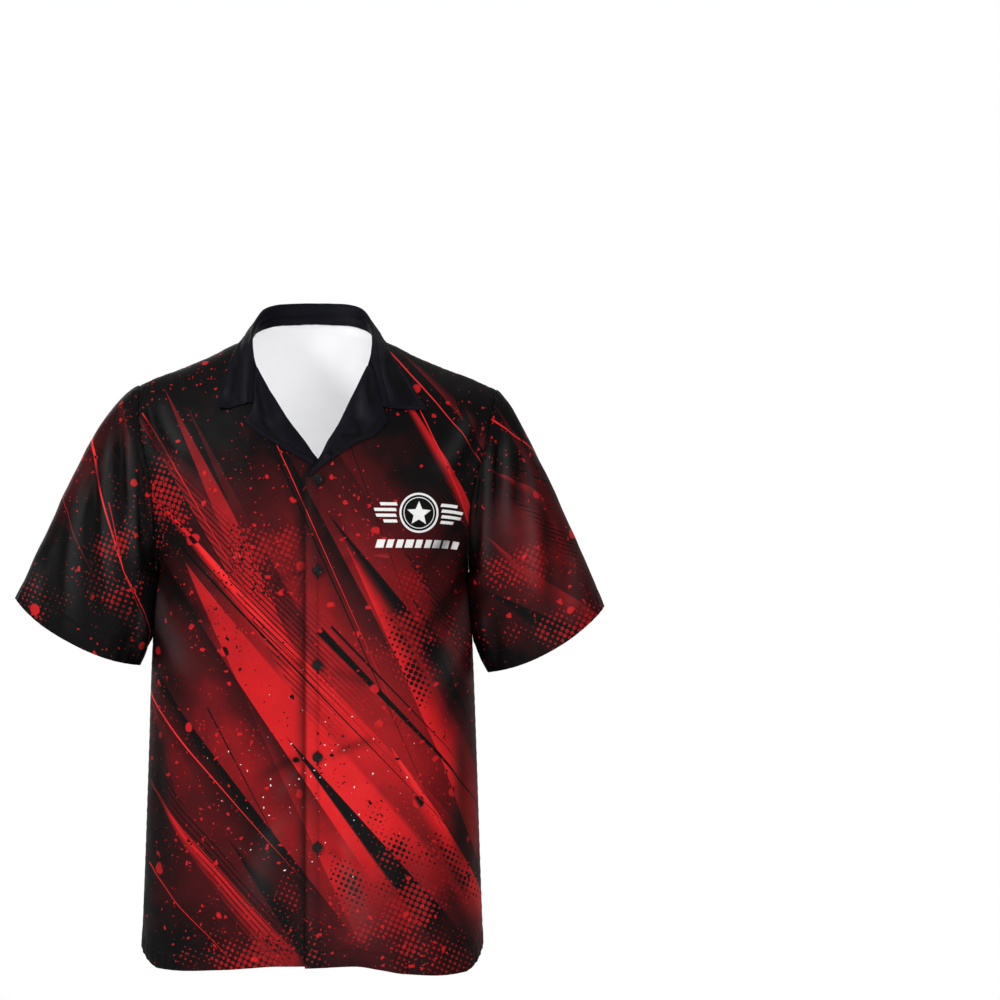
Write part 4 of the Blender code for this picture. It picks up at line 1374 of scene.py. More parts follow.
def collar_sections():
    """Seam, roll and edge points of the collar, from its right end round the neck to its left end."""
    neck = [np.stack([COLLAR_NECK[f"{part}_{axis}"] for axis in "xyz"], axis=-1) for part in COLLAR_LIFTS]
    halves = []
    for side, sign in SIGNS.items():
        data, front = COLLAR_ENDS[side], []
        for part, lift in COLLAR_LIFTS.items():
            x, z = sign * data[part + "_x"], data[part + "_z"]
            front.append(on_front(x, z, PLY_LIFT + np.array(lift))[0])
        halves.append(np.concatenate([np.stack(front, axis=1), np.stack(neck, axis=1) * (sign, 1, 1)]))
    return np.concatenate([halves[0], halves[1][-2::-1]])


def collar_grid():
    """Smooth outer face of the collar: rows from the neck seam over the roll to the free edge."""
    seam, roll, edge = np.swapaxes(by_number(collar_sections(), COLLAR_SECTIONS), 0, 1)
    outward = unit((edge - roll) * (1, 1, 0.25))
    rise = np.linalg.norm(roll - seam, axis=-1, keepdims=True)
    width = np.minimum(COLLAR_ROLL, 1.5 + rise * 0.4)
    down = np.array([0, 0, 0.5]) * width
    over, past = roll + outward * width * 0.5, roll + outward * width - down
    before = roll - down * np.clip(rise / 15, 0, 1)
    rows = [seam, (seam + before) / 2, before, over, past]
    for share in FALL_SHARES:
        rows.append(past + (edge - past) * share + outward * COLLAR_BULGE * math.sin(math.pi * share))
    return by_length(np.array(rows), spread(COLLAR_ROWS))


def make_collar(sizes, look):
    grid = collar_grid()
    start = len(grid) // 3
    grid[start:] = clear_of_shirt(grid[start:], PLY_LIFT)
    away = travelled(grid)
    to_edge = away[-1:] - away
    round_neck = travelled(grid, 1).mean(axis=0)[None, :]
    ends = (round_neck, round_neck[:, -1:] - round_neck)
    to_end = np.minimum(*ends)
    normal = normals_of(grid)
    inset = sizes.edge_stitch / MM
    waves = 0.45 * unevenness(round_neck * 1.5, away * 1.5, 6)
    rise = waves * ease(to_edge / 10) * ease(away / 10) * ease(to_end / 10)
    for place, width, height in COLLAR_WAVES:
        for end in ends:
            fold = bell(end - place, width) * ease((away - 12) / 15) * ease(to_edge / 12)
            rise = rise + height * 0.5 * fold
    front, at_back = ease(-grid[..., 1] / 12), ease((grid[..., 1] - 8) / 20)
    x, z = grid[..., 0], grid[..., 2]
    drawn = sizes.crease_depth * creases(x, z, "collar") * front * ease((away - 4) / 6) * ease(to_edge / 5)
    drawn = drawn * ease(to_end / 4)
    seam, sewn = np.minimum(to_edge, to_end), ease((away - 8) / 10)
    # Painted shade along the edge stitches and the stand's seam, with the folds' painted light and shade
    light = drawn / FULL_FOLD + shade_line(seam - inset, *COLLAR_SHADE) * sewn
    light = light + shade_line(away - STAND_SEAM, *STAND_SHADE) * at_back
    rise = rise + drawn + stitched_line(away, STAND_SEAM, 0.6) * at_back
    rise = rise + stitched_line(seam, inset, 0.5) * sewn
    sag = 0
    for tip_x, tip_z, lift, fall in TIP_CURLS.values():
        rise = rise + front * lift * bell(x - tip_x, 11) * bell(z - tip_z, 11)
        beside = bell(np.abs(x) - abs(tip_x) + 12, 9) * bell(z - tip_z, 8)
        sag = sag + front * fall * beside * (x * tip_x > 0)
    grid = grid + normal * rise[..., None]
    grid[..., 2] -= sag
    grid[start:] = clear_of_shirt(grid[start:], COLLAR_CLEARANCE)
    places = np.stack([np.broadcast_to(round_neck, away.shape), away, light], axis=-1)
    thickness = sizes.facing_thickness / MM
    piece = cloth("collar_fall", grid, thickness, places, [look["collar"], look["collar"]])
    dress(piece, ["collar"])
    runs = [inset_line(grid, "top", inset)]
    for end in ("first", "last"):
        points, ups = inset_line(grid, end, inset)
        past_roll = len(points) * 2 // 5
        runs.append((points[past_roll:-3], ups[past_roll:-3]))
    seam = dress(thread("stitches_collar", runs, sizes, look["collar thread"]))
    flat, area = cut_size(grid)


# Buttons


def make_button(number, height, sizes, look):
    """A turned button with a sunk face, a raised rim, four holes and its thread."""
    seat, face = on_front(np.array(BUTTON_LINE), np.array(height), 0.3)
    across = unit(np.cross(face, (0, 0, 1)))
    upward = np.cross(face, across)
    radius = sizes.button_width / MM / 2
    points, rings = [], []
    for share, level in BUTTON_PROFILE:
        sides = BUTTON_SIDES if share else 1
        rings.append([len(points) + i for i in range(sides)] * (BUTTON_SIDES // sides))
        for i in range(sides):
            turn = 2 * math.pi * i / sides
            out = share * radius
            points.append((out * math.cos(turn), out * math.sin(turn), level * BUTTON_THICK))
    faces = []
    for lower, upper in zip(rings[:-1], rings[1:]):
        for i in range(BUTTON_SIDES):
            after = (i + 1) % BUTTON_SIDES
            faces.append(tuple(dict.fromkeys((lower[i], lower[after], upper[after], upper[i]))))
    body = mesh_object(f"shirt_button_{number}", points, faces, [look["button"]], crisp=40.0)
    spacing, bore = (share * radius for share in BUTTON_HOLES)
    for hole_x, hole_z in ((-1, -1), (1, -1), (1, 1), (-1, 1)):
        bore_hole(body, (hole_x * spacing, hole_z * spacing), bore)
    place = np.eye(4)
    place[:3] = np.stack([across, upward, face, seat * MM], axis=1)
    body.data.transform(Matrix(place.tolist()))
    dress(body, [f"button_{number}"])
    sunk = BUTTON_PROFILE[-1][1] * BUTTON_THICK
    strands = []
    for offset in (-spacing, spacing):
        line = seat + offset * across + face * (sunk + 0.12)
        strands.append((line - upward * spacing * 1.25, line + upward * spacing * 1.25))
    dress(tie_thread(f"button_thread_{number}", strands, face, look["button thread"]))


def bore_hole(body, centre, radius):
    """Cuts one sewing hole through a button."""
    bpy.ops.mesh.primitive_cylinder_add(vertices=20, radius=radius * MM, depth=4 * BUTTON_THICK * MM)
    drill = bpy.context.object
    drill.location = (centre[0] * MM, centre[1] * MM, 0)
    cut = body.modifiers.new("hole", "BOOLEAN")
    cut.operation = "DIFFERENCE"
    cut.object = drill
    bpy.context.view_layer.update()
    graph = bpy.context.evaluated_depsgraph_get()
    mesh = bpy.data.meshes.new_from_object(body.evaluated_get(graph))
    body.modifiers.clear()
    body.data = mesh
    bpy.data.objects.remove(drill, do_unlink=True)


def tie_thread(name, strands, up, finish):
    """Threads laid side by side, two to a strand, over a button's holes."""
    around, steps, radius = 8, 9, 0.34
    tied = []
    for start, end in strands:
        side = unit(np.cross(end - start, up))
        for shift in (-0.3, 0.3):
            rings = []
            for share in np.linspace(0, 1, steps):
                sink = 1.5 * max(0.0, abs(2 * share - 1) - 0.55)
                centre = start + (end - start) * share + side * shift + up * (0.25 - sink)
                rings.extend([centre + radius * spoke for spoke in spokes(side, up, around)])
            tied.append(rings)
    return tubes(name, np.array(tied), around, finish)


def make_buttonhole(number, height, sizes, look):
    """An upright slit between two legs of close stitches, with a bar at each end, under its button."""
    half, middle = sizes.buttonhole / MM / 2, height - BUTTONHOLE_DROP
    rows = []
    for level in np.arange(-half, half + 0.01, BUTTONHOLE_PITCH):
        rows.extend([(0.15, 1.25, middle + level), (-1.25, -0.15, middle + level)])
    for side in (-1, 1):
        rows.extend([(-1.3, 1.3, middle + side * (half + 0.3 + 0.25 * row)) for row in range(4)])
    start, end, level = np.array(rows).T
    first, ups = on_front(BUTTON_LINE + start, level, -0.12)
    last, _ = on_front(BUTTON_LINE + end, level, -0.12)
    hole = stitches(f"buttonhole_{number}", first, last, ups, 0.24, look["buttonhole thread"])
    dress(hole)


# Finishes


class Recipe:
    """Short ways to add nodes to a tree; what is drawn reads its place on the cloth from point."""

    def __init__(self, tree, point=None):
        self.tree = tree
        self.point = point

    def node(self, kind, inputs=(), **settings):
        """A new node: inputs holds a value or a socket for each of its inputs, by name or by number."""
        made = self.tree.nodes.new(kind)
        for key, value in settings.items():
            setattr(made, key, value)
        for key, value in dict(inputs).items():
            if isinstance(value, bpy.types.NodeSocket):
                self.tree.links.new(value, made.inputs[key])
            else:
                made.inputs[key].default_value = value
        return made

    def math(self, operation, *values, clamp=False):
        settings = {"operation": operation, "use_clamp": clamp}
        return self.node("ShaderNodeMath", enumerate(values), **settings).outputs[0]

    def times(self, *values, clamp=False):
        return self.math("MULTIPLY", *values, clamp=clamp)

    def plus(self, *values):
        return self.math("ADD", *values)

    def most(self, *values):
        return self.math("MAXIMUM", *values)

    def vector(self, operation, *values):
        return self.node("ShaderNodeVectorMath", enumerate(values), operation=operation).outputs[0]

    def reading(self, x, z, turn):
        """How far the point lies from (x, z) along a direction, in degrees below the horizontal."""
        right, up = math.cos(math.radians(turn)), -math.sin(math.radians(turn))
        inputs = {0: self.point, 1: (right, up, -(right * x + up * z))}
        return self.node("ShaderNodeVectorMath", inputs, operation="DOT_PRODUCT").outputs["Value"]

    def far(self, x, z, across=1.0, down=1.0):
        """How far the point lies from (x, z), as a share of an ellipse's half width and half height."""
        shifted = self.vector("SUBTRACT", self.point, (x, z, 1.0))
        scaled = self.vector("MULTIPLY", shifted, (1 / across, 1 / down, 0.0))
        return self.node("ShaderNodeVectorMath", {0: scaled}, operation="LENGTH").outputs["Value"]

    def clouds(self, scale, detail=2.0, **settings):
        """Soft clouds, this many to a unit of the point."""
        inputs = {"Vector": self.point, "Scale": scale, "Detail": detail}
        return self.node("ShaderNodeTexNoise", inputs, **settings)

    def uneven(self, size, detail, spread):
        """Clouds of about this size in millimetres, as numbers up to this spread on either side of 0."""
        clouds = self.clouds(1 / size, detail, noise_dimensions="2D").outputs[0]
        return self.step(clouds, 0.3, 0.7, -spread, spread)

    def ragged(self, size, reach):
        """The point moved about by clouds, so that what is drawn there gets a ragged outline."""
        colour = self.clouds(1 / size, 3.0, noise_dimensions="2D").outputs["Color"]
        return self.vector("MULTIPLY_ADD", colour, (reach, reach, 0), self.point)

    def step(self, value, low, high, start=0.0, end=1.0, smooth=False):
        inputs = {"Value": value, "From Min": low, "From Max": high, "To Min": start, "To Max": end}
        kind = "SMOOTHSTEP" if smooth else "LINEAR"
        return self.node("ShaderNodeMapRange", inputs, interpolation_type=kind).outputs[0]

    def over(self, below, above, share):
        return self.node("ShaderNodeMix", {0: share, 2: below, 3: above}, data_type="FLOAT").outputs[0]

    def blend(self, below, above, share):
        """A mix of two colours."""
        return self.node("ShaderNodeMix", {0: share, 6: below, 7: above}, data_type="RGBA").outputs[2]

    def place(self):
        """Takes the place on the cloth in millimetres, as (across, up, 1), for its point."""
        spot = self.node("ShaderNodeAttribute", attribute_name="print_at").outputs["Vector"]
        inputs = {0: spot, "Scale": 1 / MM}
        self.point = self.node("ShaderNodeVectorMath", inputs, operation="SCALE").outputs[0]
        return self.point


def shard(recipe, x, z, angle, length, width, fade):
    """1 inside a shard, less where it fades, and how far along it a point lies."""
    away = recipe.reading(x, z, angle + math.copysign(90, width))
    along = recipe.reading(x, z, angle)
    reach = recipe.most(recipe.times(along, abs(width) / length), 0.01)
    across = recipe.math("DIVIDE", away, reach)
    fall = recipe.math("MULTIPLY_ADD", across, -1 / fade, 1 / fade, clamp=True)
    crisp = recipe.times(away, 2.2, clamp=True)
    end = recipe.step(along, length, length * 0.6, smooth=True)
    return recipe.times(recipe.times(fall, crisp), end), along


def add_shards(recipe, shade, rows):
    for *place, start, end, share in rows:
        inside, along = shard(recipe, *place)
        inside = recipe.times(inside, share)
        shade = recipe.over(shade, recipe.step(along, 0, place[3], start, end), inside)
    return shade


def add_hatches(recipe, shade, rows):
    """Fine parallel lines inside shards, darker than what they lie on."""
    for *place, turn, pitch in rows:
        inside = shard(recipe, *place)[0]
        wave = recipe.math("SINE", recipe.times(recipe.reading(0, 0, turn + 90), 2 * math.pi / pitch))
        inside = recipe.times(inside, recipe.step(wave, 0.45, 0.85))
        shade = recipe.over(shade, recipe.times(shade, 0.25), inside)
    return shade


def add_lines(recipe, shade, rows):
    """Lines that taper to nothing."""
    for x, z, angle, length, width, ink in rows:
        away = recipe.math("ABSOLUTE", recipe.reading(x, z, angle + 90))
        along = recipe.reading(x, z, angle)
        reach = recipe.step(along, 0, length, width / 2 + 0.15, 0.0)
        inside = recipe.times(recipe.math("SUBTRACT", reach, away), 3.0, clamp=True)
        shade = recipe.over(shade, ink, recipe.times(inside, recipe.step(along, -0.5, 0.5)))
    return shade


def add_dots(recipe, shade, rows):
    """Halftone dots in ragged patches, larger in the middle of each, lighter on dark and darker on light."""
    ragged = recipe.uneven(46.0, 3.0, 0.55)
    size = 0.0
    for patch in rows:
        size = recipe.most(size, recipe.step(recipe.plus(recipe.far(*patch), ragged), 1.0, 0.1, 0.0, 0.46))
    square = []
    for turn in (DOT_TURN, DOT_TURN + 90):
        along = recipe.times(recipe.reading(0, 0, turn), 1 / DOT_PITCH)
        square.append(recipe.math("POWER", recipe.math("SUBTRACT", recipe.math("FRACT", along), 0.5), 2.0))
    far = recipe.math("SQRT", recipe.plus(*square))
    inside = recipe.times(recipe.math("SUBTRACT", size, far), 14.0, clamp=True)
    return recipe.over(shade, recipe.step(shade, 0.45, 0.60, 0.60, 0.14), inside)


def specks(recipe, point, cell, largest, share, soft=2.5):
    """Round specks: 1 inside each, for that share of the cells."""
    inputs = {"Vector": point, "Scale": 1 / cell}
    scattered = recipe.node("ShaderNodeTexVoronoi", inputs, voronoi_dimensions="2D")
    chance = recipe.node("ShaderNodeSeparateColor", {"Color": scattered.outputs["Color"]})
    size = recipe.times(recipe.math("POWER", chance.outputs[0], 2.0), largest / cell)
    picked = recipe.math("LESS_THAN", chance.outputs[1], share)
    inside = recipe.math("SUBTRACT", size, scattered.outputs["Distance"])
    return recipe.times(recipe.times(inside, soft * cell, clamp=True), picked)


def add_spatter(recipe, shade, amount):
    """Spattered colour in clusters, red on dark and black on bright."""
    ragged = recipe.ragged(9.0, 9.0)
    clouds = recipe.clouds(1 / 80.0, noise_dimensions="2D").outputs[0]
    dense = recipe.step(clouds, 0.40, 0.64, 0.05 * amount, 0.80 * amount)
    spots = recipe.most(specks(recipe, ragged, 5.4, 1.3, dense), specks(recipe, ragged, 15.0, 3.0, dense))
    spots = recipe.most(spots, specks(recipe, recipe.ragged(30.0, 14.0), 44.0, 7.5, 0.42, 0.7))
    colour = recipe.step(shade, 0.60, 0.72, 0.80, 0.04)
    return recipe.over(shade, colour, recipe.times(spots, 0.92))


def print_group(name, layout, dyes):
    """A print as a node group: its colour at a place on the cloth."""
    tree = bpy.data.node_groups.new(f"print_{name.replace(' ', '_')}", "ShaderNodeTree")
    tree.interface.new_socket("Place", in_out="INPUT", socket_type="NodeSocketVector")
    tree.interface.new_socket("Color", in_out="OUTPUT", socket_type="NodeSocketColor")
    recipe = Recipe(tree, tree.nodes.new("NodeGroupInput").outputs[0])
    glow = layout["glow"]
    far = recipe.far(glow["x"], glow["z"], glow["across"], glow["down"])
    shade = recipe.step(far, 1.6, 0.1, glow["dark"], glow["bright"], smooth=True)
    shade = recipe.plus(shade, recipe.uneven(110.0, 3.0, 0.05))
    rows = {key: zip(*(v.tolist() for v in layout[key].values())) for key in PRINT_TABLES}
    shade = add_shards(recipe, shade, rows["shards"])
    shade = recipe.times(shade, recipe.step(far, 2.0, 0.8, 0.62, 1.0, smooth=True))
    shade = recipe.plus(shade, recipe.uneven(34.0, 4.0, 0.03))
    shade = add_hatches(recipe, shade, rows["hatches"])
    shade = add_dots(recipe, shade, rows["dots"])
    shade = add_lines(recipe, shade, rows["lines"])
    shade = add_spatter(recipe, shade, layout["spatter"])
    shade = recipe.plus(shade, recipe.uneven(1.3, 2.0, 0.02))
    ramp = recipe.node("ShaderNodeValToRGB", {"Fac": shade})
    elements = ramp.color_ramp.elements
    for i, (position, dye_name) in enumerate(PRINT_RAMP):
        stop = elements[i] if i < 2 else elements.new(position)
        stop.position = position
        stop.color = (*getattr(dyes, dye_name), 1)
    white = layout["white"]
    near = recipe.far(white["x"], white["z"], white["across"], white["across"])
    light = specks(recipe, recipe.ragged(20.0, 12.0), 8.0, 1.15, recipe.step(near, 1.1, 0.2, 0.0, 0.45))
    colour = recipe.blend(ramp.outputs[0], (0.85, 0.80, 0.80, 1), light)
    tree.links.new(colour, tree.nodes.new("NodeGroupOutput").inputs[0])
    return tree


def inked(recipe, away, half):
    """1 where a distance is less than the half width of what is printed, with an edge that is just soft."""
    return recipe.step(away, half + 0.25, half - 0.25)


def star(recipe, x, z, radius, notch=0.45):
    """1 inside a five-pointed star."""
    turn = recipe.math("ARCTAN2", recipe.reading(x, z, 0), recipe.reading(x, z, -90))
    far = recipe.far(x, z)
    fifth = 2 * math.pi / 5
    folded = recipe.math("FLOORED_MODULO", recipe.plus(turn, fifth / 2), fifth)
    folded = recipe.math("ABSOLUTE", recipe.math("SUBTRACT", folded, fifth / 2))
    along, aside = (recipe.times(far, recipe.math(part, folded)) for part in ("COSINE", "SINE"))
    edge = (notch * radius * math.cos(fifth / 2) - radius, notch * radius * math.sin(fifth / 2))
    length = math.hypot(*edge)
    across = (edge[1] / length, -edge[0] / length)
    reach = recipe.plus(recipe.times(along, across[0]), recipe.times(aside, across[1]))
    return inked(recipe, reach, radius * across[0])


def ring(recipe, x, z, radius, width):
    """1 on a round line."""
    away = recipe.math("SUBTRACT", recipe.far(x, z), radius)
    return inked(recipe, recipe.math("ABSOLUTE", away), width / 2)


def bar(recipe, x, z, length, height, slant):
    """1 inside a bar with slanted ends."""
    level = recipe.reading(x, z, -90)
    skewed = recipe.math("SUBTRACT", recipe.reading(x, z, 0), recipe.times(level, slant))
    sides = ((skewed, length / 2), (level, height / 2))
    return recipe.times(*(inked(recipe, recipe.math("ABSOLUTE", away), half) for away, half in sides))


def chest_badge(recipe):
    """A star in a ring between bars, over a row of slanted blocks: its white, and the black behind it."""
    x, z = BADGE_MIDDLE
    white = recipe.most(ring(recipe, x, z, 22, 2.4), star(recipe, x, z - 1, 14.5))
    white = recipe.most(white, ring(recipe, x, z, 17.8, 0.9))
    for side in (-1, 1):
        for level, inner, length in BADGE_BARS:
            centre = x + side * (inner + length / 2)
            white = recipe.most(white, bar(recipe, centre, z + level, length, 3.6, side * 0.35))
    for number in range(9):
        wide = 7.6 if number % 3 else 9.4
        white = recipe.most(white, bar(recipe, x + (number - 4) * 11.4, z - 36, wide, 9.5, 0.3))
    return white, ring(recipe, x, z, 11, 22)


def back_bars(recipe):
    """A star between two rows of slanted bars, as white with a black edge."""
    z = BACK_MOTIF_LEVEL
    white, dark = star(recipe, 0, z, 23), star(recipe, 0, z, 28)
    for side in (-1, 1):
        for number in range(7):
            centre, tall = side * (40 + number * 19.0), 34 - number * 2.6
            white = recipe.most(white, bar(recipe, centre, z, 9.5, tall, -0.35))
            dark = recipe.most(dark, bar(recipe, centre, z, 13.5, tall + 4, -0.35))
    return white, dark


def new_finish(name):
    finish = bpy.data.materials.new(name)
    finish.use_nodes = True
    finish.node_tree.nodes.clear()
    return finish, Recipe(finish.node_tree)


def finished(finish, recipe, inputs):
    """Ends a finish with a shader that has these inputs."""
    shader = recipe.node("ShaderNodeBsdfPrincipled", inputs)
    recipe.node("ShaderNodeOutputMaterial", {0: shader.outputs[0]})
    return finish


def tinted(base, factor):
    """A colour that is lighter or darker by a factor, with its alpha."""
    return tuple(min(1.0, c * factor) for c in base) + (1,)


def woven(finish, recipe, colour, sizes, roughness, sheen, ridge):
    """Woven cloth of a colour: matt, with a fine weave and a soft nap, with painted shade in troughs and
    seams and a painted highlight on ridges.
    """
    recipe.place()
    fold = recipe.node("ShaderNodeAttribute", attribute_name="fold_light").outputs["Fac"]
    # Painted shade towards near-black where fold_light is below 0, and a painted highlight towards grey, up
    # to the share ridge, where it is above 0
    colour = recipe.blend(colour, (0.002, 0.002, 0.002, 1), recipe.step(fold, 0.0, -1.0, 0.0, 0.75))
    colour = recipe.blend(colour, (0.13, 0.13, 0.135, 1), recipe.step(fold, 0.0, 1.0, 0.0, ridge))
    threads = []
    for turn in (0, 90):
        across = recipe.times(recipe.reading(0, 0, turn), 2 * math.pi / (sizes.weave_pitch / MM))
        threads.append(recipe.math("SINE", across))
    slub = recipe.clouds(0.35, 4.0)
    slub.inputs["Roughness"].default_value = 0.6
    height = recipe.plus(recipe.times(recipe.times(*threads), 0.35), recipe.times(slub.outputs[0], 0.8))
    bump = recipe.node("ShaderNodeBump", {"Height": height, "Strength": 0.22, "Distance": 0.0003})
    gloss = recipe.step(recipe.clouds(0.05, 3.0).outputs[0], 0.3, 0.7, roughness - 0.05, roughness + 0.06)
    inputs = {"Base Color": colour, "Roughness": gloss, "Normal": bump.outputs[0], "Sheen Weight": sheen}
    return finished(finish, recipe, {**inputs, "Sheen Roughness": 0.45, "Specular IOR Level": 0.06})


def printed_finish(name, group, sizes, dyes, motif=None, level=None):
    """The printed cloth, with a motif printed over it; a level turns the print upside down."""
    finish, recipe = new_finish(name)
    spot = recipe.place()
    if level is not None:
        spot = recipe.vector("MULTIPLY_ADD", spot, (-1, -1, 1), (0, level, 0))
    colour = recipe.node("ShaderNodeGroup", node_tree=group)
    recipe.tree.links.new(spot, colour.inputs[0])
    colour = colour.outputs[0]
    if motif:
        white, dark = motif(recipe)
        colour = recipe.blend(colour, (*dyes.black, 1), dark)
        colour = recipe.blend(colour, (*dyes.badge, 1), white)
    return woven(finish, recipe, colour, sizes, 0.48, 0.0, 0.10)


def plain_finish(name, base, sizes, roughness, sheen, contrast=0.12):
    """Cloth of one dye, a little uneven."""
    finish, recipe = new_finish(name)
    recipe.place()
    share = recipe.step(recipe.clouds(0.03, 5.0).outputs[0], 0.3, 0.7)
    colour = recipe.blend(tinted(base, 1 - contrast), tinted(base, 1 + contrast), share)
    return woven(finish, recipe, colour, sizes, roughness, sheen, 0.05)


def solid_recipe(name):
    """A finish whose point is a place on the object itself, in metres."""
    finish, recipe = new_finish(name)
    recipe.point = recipe.node("ShaderNodeTexCoord").outputs["Object"]
    return finish, recipe


def thread_finish(name, base):
    """Twisted sewing thread, with painted shade in the grooves of its twist, where the bump is low."""
    finish, recipe = solid_recipe(name)
    wave = recipe.node("ShaderNodeTexWave", {"Vector": recipe.point, "Scale": 900.0, "Distortion": 1.0})
    wave = wave.outputs["Fac"]
    colour = recipe.blend(tinted(base, 0.75), (*base, 1), wave)
    bump = recipe.node("ShaderNodeBump", {"Height": wave, "Strength": 0.4, "Distance": 0.0001}).outputs[0]
    inputs = {"Base Color": colour, "Normal": bump, "Roughness": 0.5}
    return finished(finish, recipe, {**inputs, "Sheen Weight": 0.05, "Specular IOR Level": 0.15})


def resin_finish(name, base):
    """Polished button resin with faint clouds in it."""
    finish, recipe = solid_recipe(name)
    cloud = recipe.clouds(260.0, 3.0).outputs[0]
    colour = recipe.blend(tinted(base, 0.7), tinted(base, 1.5), recipe.step(cloud, 0.35, 0.65))
    inputs = {"Base Color": colour, "Roughness": recipe.step(cloud, 0.3, 0.7, 0.36, 0.48)}
    return finished(finish, recipe, {**inputs, "Coat Weight": 0.02, "Specular IOR Level": 0.15})


def floor_finish(name, base):
    """Matt floor with faint clouds in it."""
    finish, recipe = solid_recipe(name)
    colour = recipe.blend(tinted(base, 0.99), (*base, 1), recipe.clouds(0.8, 4.0).outputs[0])
    return finished(finish, recipe, {"Base Color": colour, "Roughness": 0.9, "Specular IOR Level": 0.1})


_look = {}


def shirt_look(scene):
    """Every finish of the shirt, made once."""
    if not _look:
        sizes, dyes = scene.shirt_sizes, scene.shirt_dyes
        group = print_group("body", PRINTS["body"], dyes)
        _look["print"] = printed_finish("printed_cloth_all_over", group, sizes, dyes)
        _look["badge"] = printed_finish("printed_cloth_with_badge", group, sizes, dyes, chest_badge)
        _look["bars"] = printed_finish(
            "printed_cloth_with_bars", group, sizes, dyes, back_bars, level=BACK_TURN_LEVEL
        )
        for side in SIGNS:
            group = print_group(f"{side} sleeve", PRINTS[f"{side} sleeve"], dyes)
            _look[f"{side} sleeve"] = printed_finish(f"printed_cloth_{side}_sleeve", group, sizes, dyes)
        _look["inside"] = plain_finish("white_side", dyes.white_side, sizes, 0.75, 0.0, 0.015)
        _look["collar"] = plain_finish("plain_cloth_navy", dyes.collar, sizes, 0.5, 0.01)
        _look["thread"] = thread_finish("thread_dark", dyes.thread)
        _look["collar thread"] = thread_finish("thread_navy", dyes.collar_thread)
        _look["buttonhole thread"] = thread_finish("thread_buttonhole", dyes.buttonhole_thread)
        _look["button thread"] = thread_finish("thread_button", dyes.button_thread)
        _look["button"] = resin_finish("button_resin_black", dyes.buttons)
    return _look


# Studio


def make_floor(studio):
    """A wide pale floor."""
    around, rings = 64, 6
    level, reach = studio.floor_level / MM, studio.floor_size / MM / 2
    points, faces = [], [tuple(range(around))]
    for number in range(1, rings + 1):
        for i in range(around):
            turn, out = 2 * math.pi * i / around, reach * (number / rings) ** 2
            points.append((out * math.cos(turn), out * math.sin(turn), level))
    for first in range(0, (rings - 1) * around, around):
        for i in range(around):
            a, b = first + i, first + (i + 1) % around
            faces.append((a, a + around, b + around, b))
    finish = floor_finish("pale_floor", studio.floor_colour)
    mesh_object("floor", points, faces, [finish])


def make_lamp(name, place, aim, width, power):
    lamp = bpy.data.lights.new(name, "AREA")
    lamp.shape = "SQUARE"
    lamp.size = width
    lamp.energy = power
    holder = place_in_scene(name, lamp)
    holder.location = place
    holder.rotation_mode = "QUATERNION"
    holder.rotation_quaternion = (Vector(aim) - Vector(place)).to_track_quat("-Z", "Y")
    holder.visible_camera = False


def make_surroundings(studio):
    """An even white light from all round, and plain white behind the shirt."""
    world = bpy.data.worlds.new("white_surroundings")
    world.use_nodes = True
    world.node_tree.nodes.clear()
    recipe = Recipe(world.node_tree)
    seen = recipe.node("ShaderNodeLightPath").outputs["Is Camera Ray"]
    whites = []
    for strength in (studio.surround_light, 1.0):
        white = recipe.node("ShaderNodeBackground", {"Color": (1, 1, 1, 1), "Strength": strength})
        whites.append(white.outputs[0])
    mixed = recipe.node("ShaderNodeMixShader", {"Fac": seen, 1: whites[0], 2: whites[1]})
    recipe.node("ShaderNodeOutputWorld", {0: mixed.outputs[0]})
    bpy.context.scene.world = world


def make_studio(studio):
    make_floor(studio)
    for name, (place, aim, width) in LAMPS.items():
        make_lamp(name, place, aim, width, getattr(studio, f"{name}_power"))
    make_surroundings(studio)
    camera = bpy.data.cameras.new("camera")
    camera.sensor_width = 36.0
    camera.lens = camera.sensor_width * studio.camera_distance / studio.picture_width
    camera.clip_end = 200
    holder = place_in_scene("camera", camera)
    holder.location = (studio.picture_x, studio.picture_depth - studio.camera_distance, studio.picture_z)
    holder.rotation_euler = (math.pi / 2, 0, 0)
    scene = bpy.context.scene
    scene.camera = holder
    scene.view_settings.view_transform = "Standard"
    scene.view_settings.look = "None"


# The add-on's settings, tools and panel


def size(name, description, default):
    return FloatProperty(name=name, description=description, default=default, unit="LENGTH")


def power(name, description, default):
    return FloatProperty(name=name, description=description, default=default, unit="POWER")


def amount(name, description, default):
    return FloatProperty(name=name, description=description, default=default, min=0.0, max=2.0)


def dye(name, description, default):
    return FloatVectorProperty(
        name=name, description=description, default=default, size=3, min=0, max=1, subtype="COLOR"
    )


class ShirtSizes(bpy.types.PropertyGroup):
    """Sizes of the cloth and its sewing."""

    cloth_thickness: size("Cloth", "Thickness of the printed cloth", 0.0009)
    facing_thickness: size("Collar cloth", "Thickness of collar and lapels", 0.0013)
    body_hem: size("Body hem", "Depth of the turned-up hem", 0.018)
    cuff_hem: size("Cuff hem", "Depth of the sleeves' hems", 0.023)
    edge_stitch: size("Edge stitch", "From an edge of the collar to its stitches", 0.0042)
    lapel_stitch: size("Lapel stitch", "From a lapel's edge to its stitches", 0.0075)
    stitch_length: size("Stitch", "Length of one stitch", 0.0026)
    stitch_gap: size("Stitch gap", "Between two stitches", 0.0008)
    thread_width: size("Thread", "Width of the sewing thread", 0.0005)
    weave_pitch: size("Weave", "From one thread of the weave to the next", 0.0007)
    button_width: size("Button", "Width of a button", 0.0118)
    buttonhole: size("Buttonhole", "Length of a buttonhole", 0.0150)
    crease_depth: amount("Creases", "Depth of the creases, 1 as worn", 1.0)


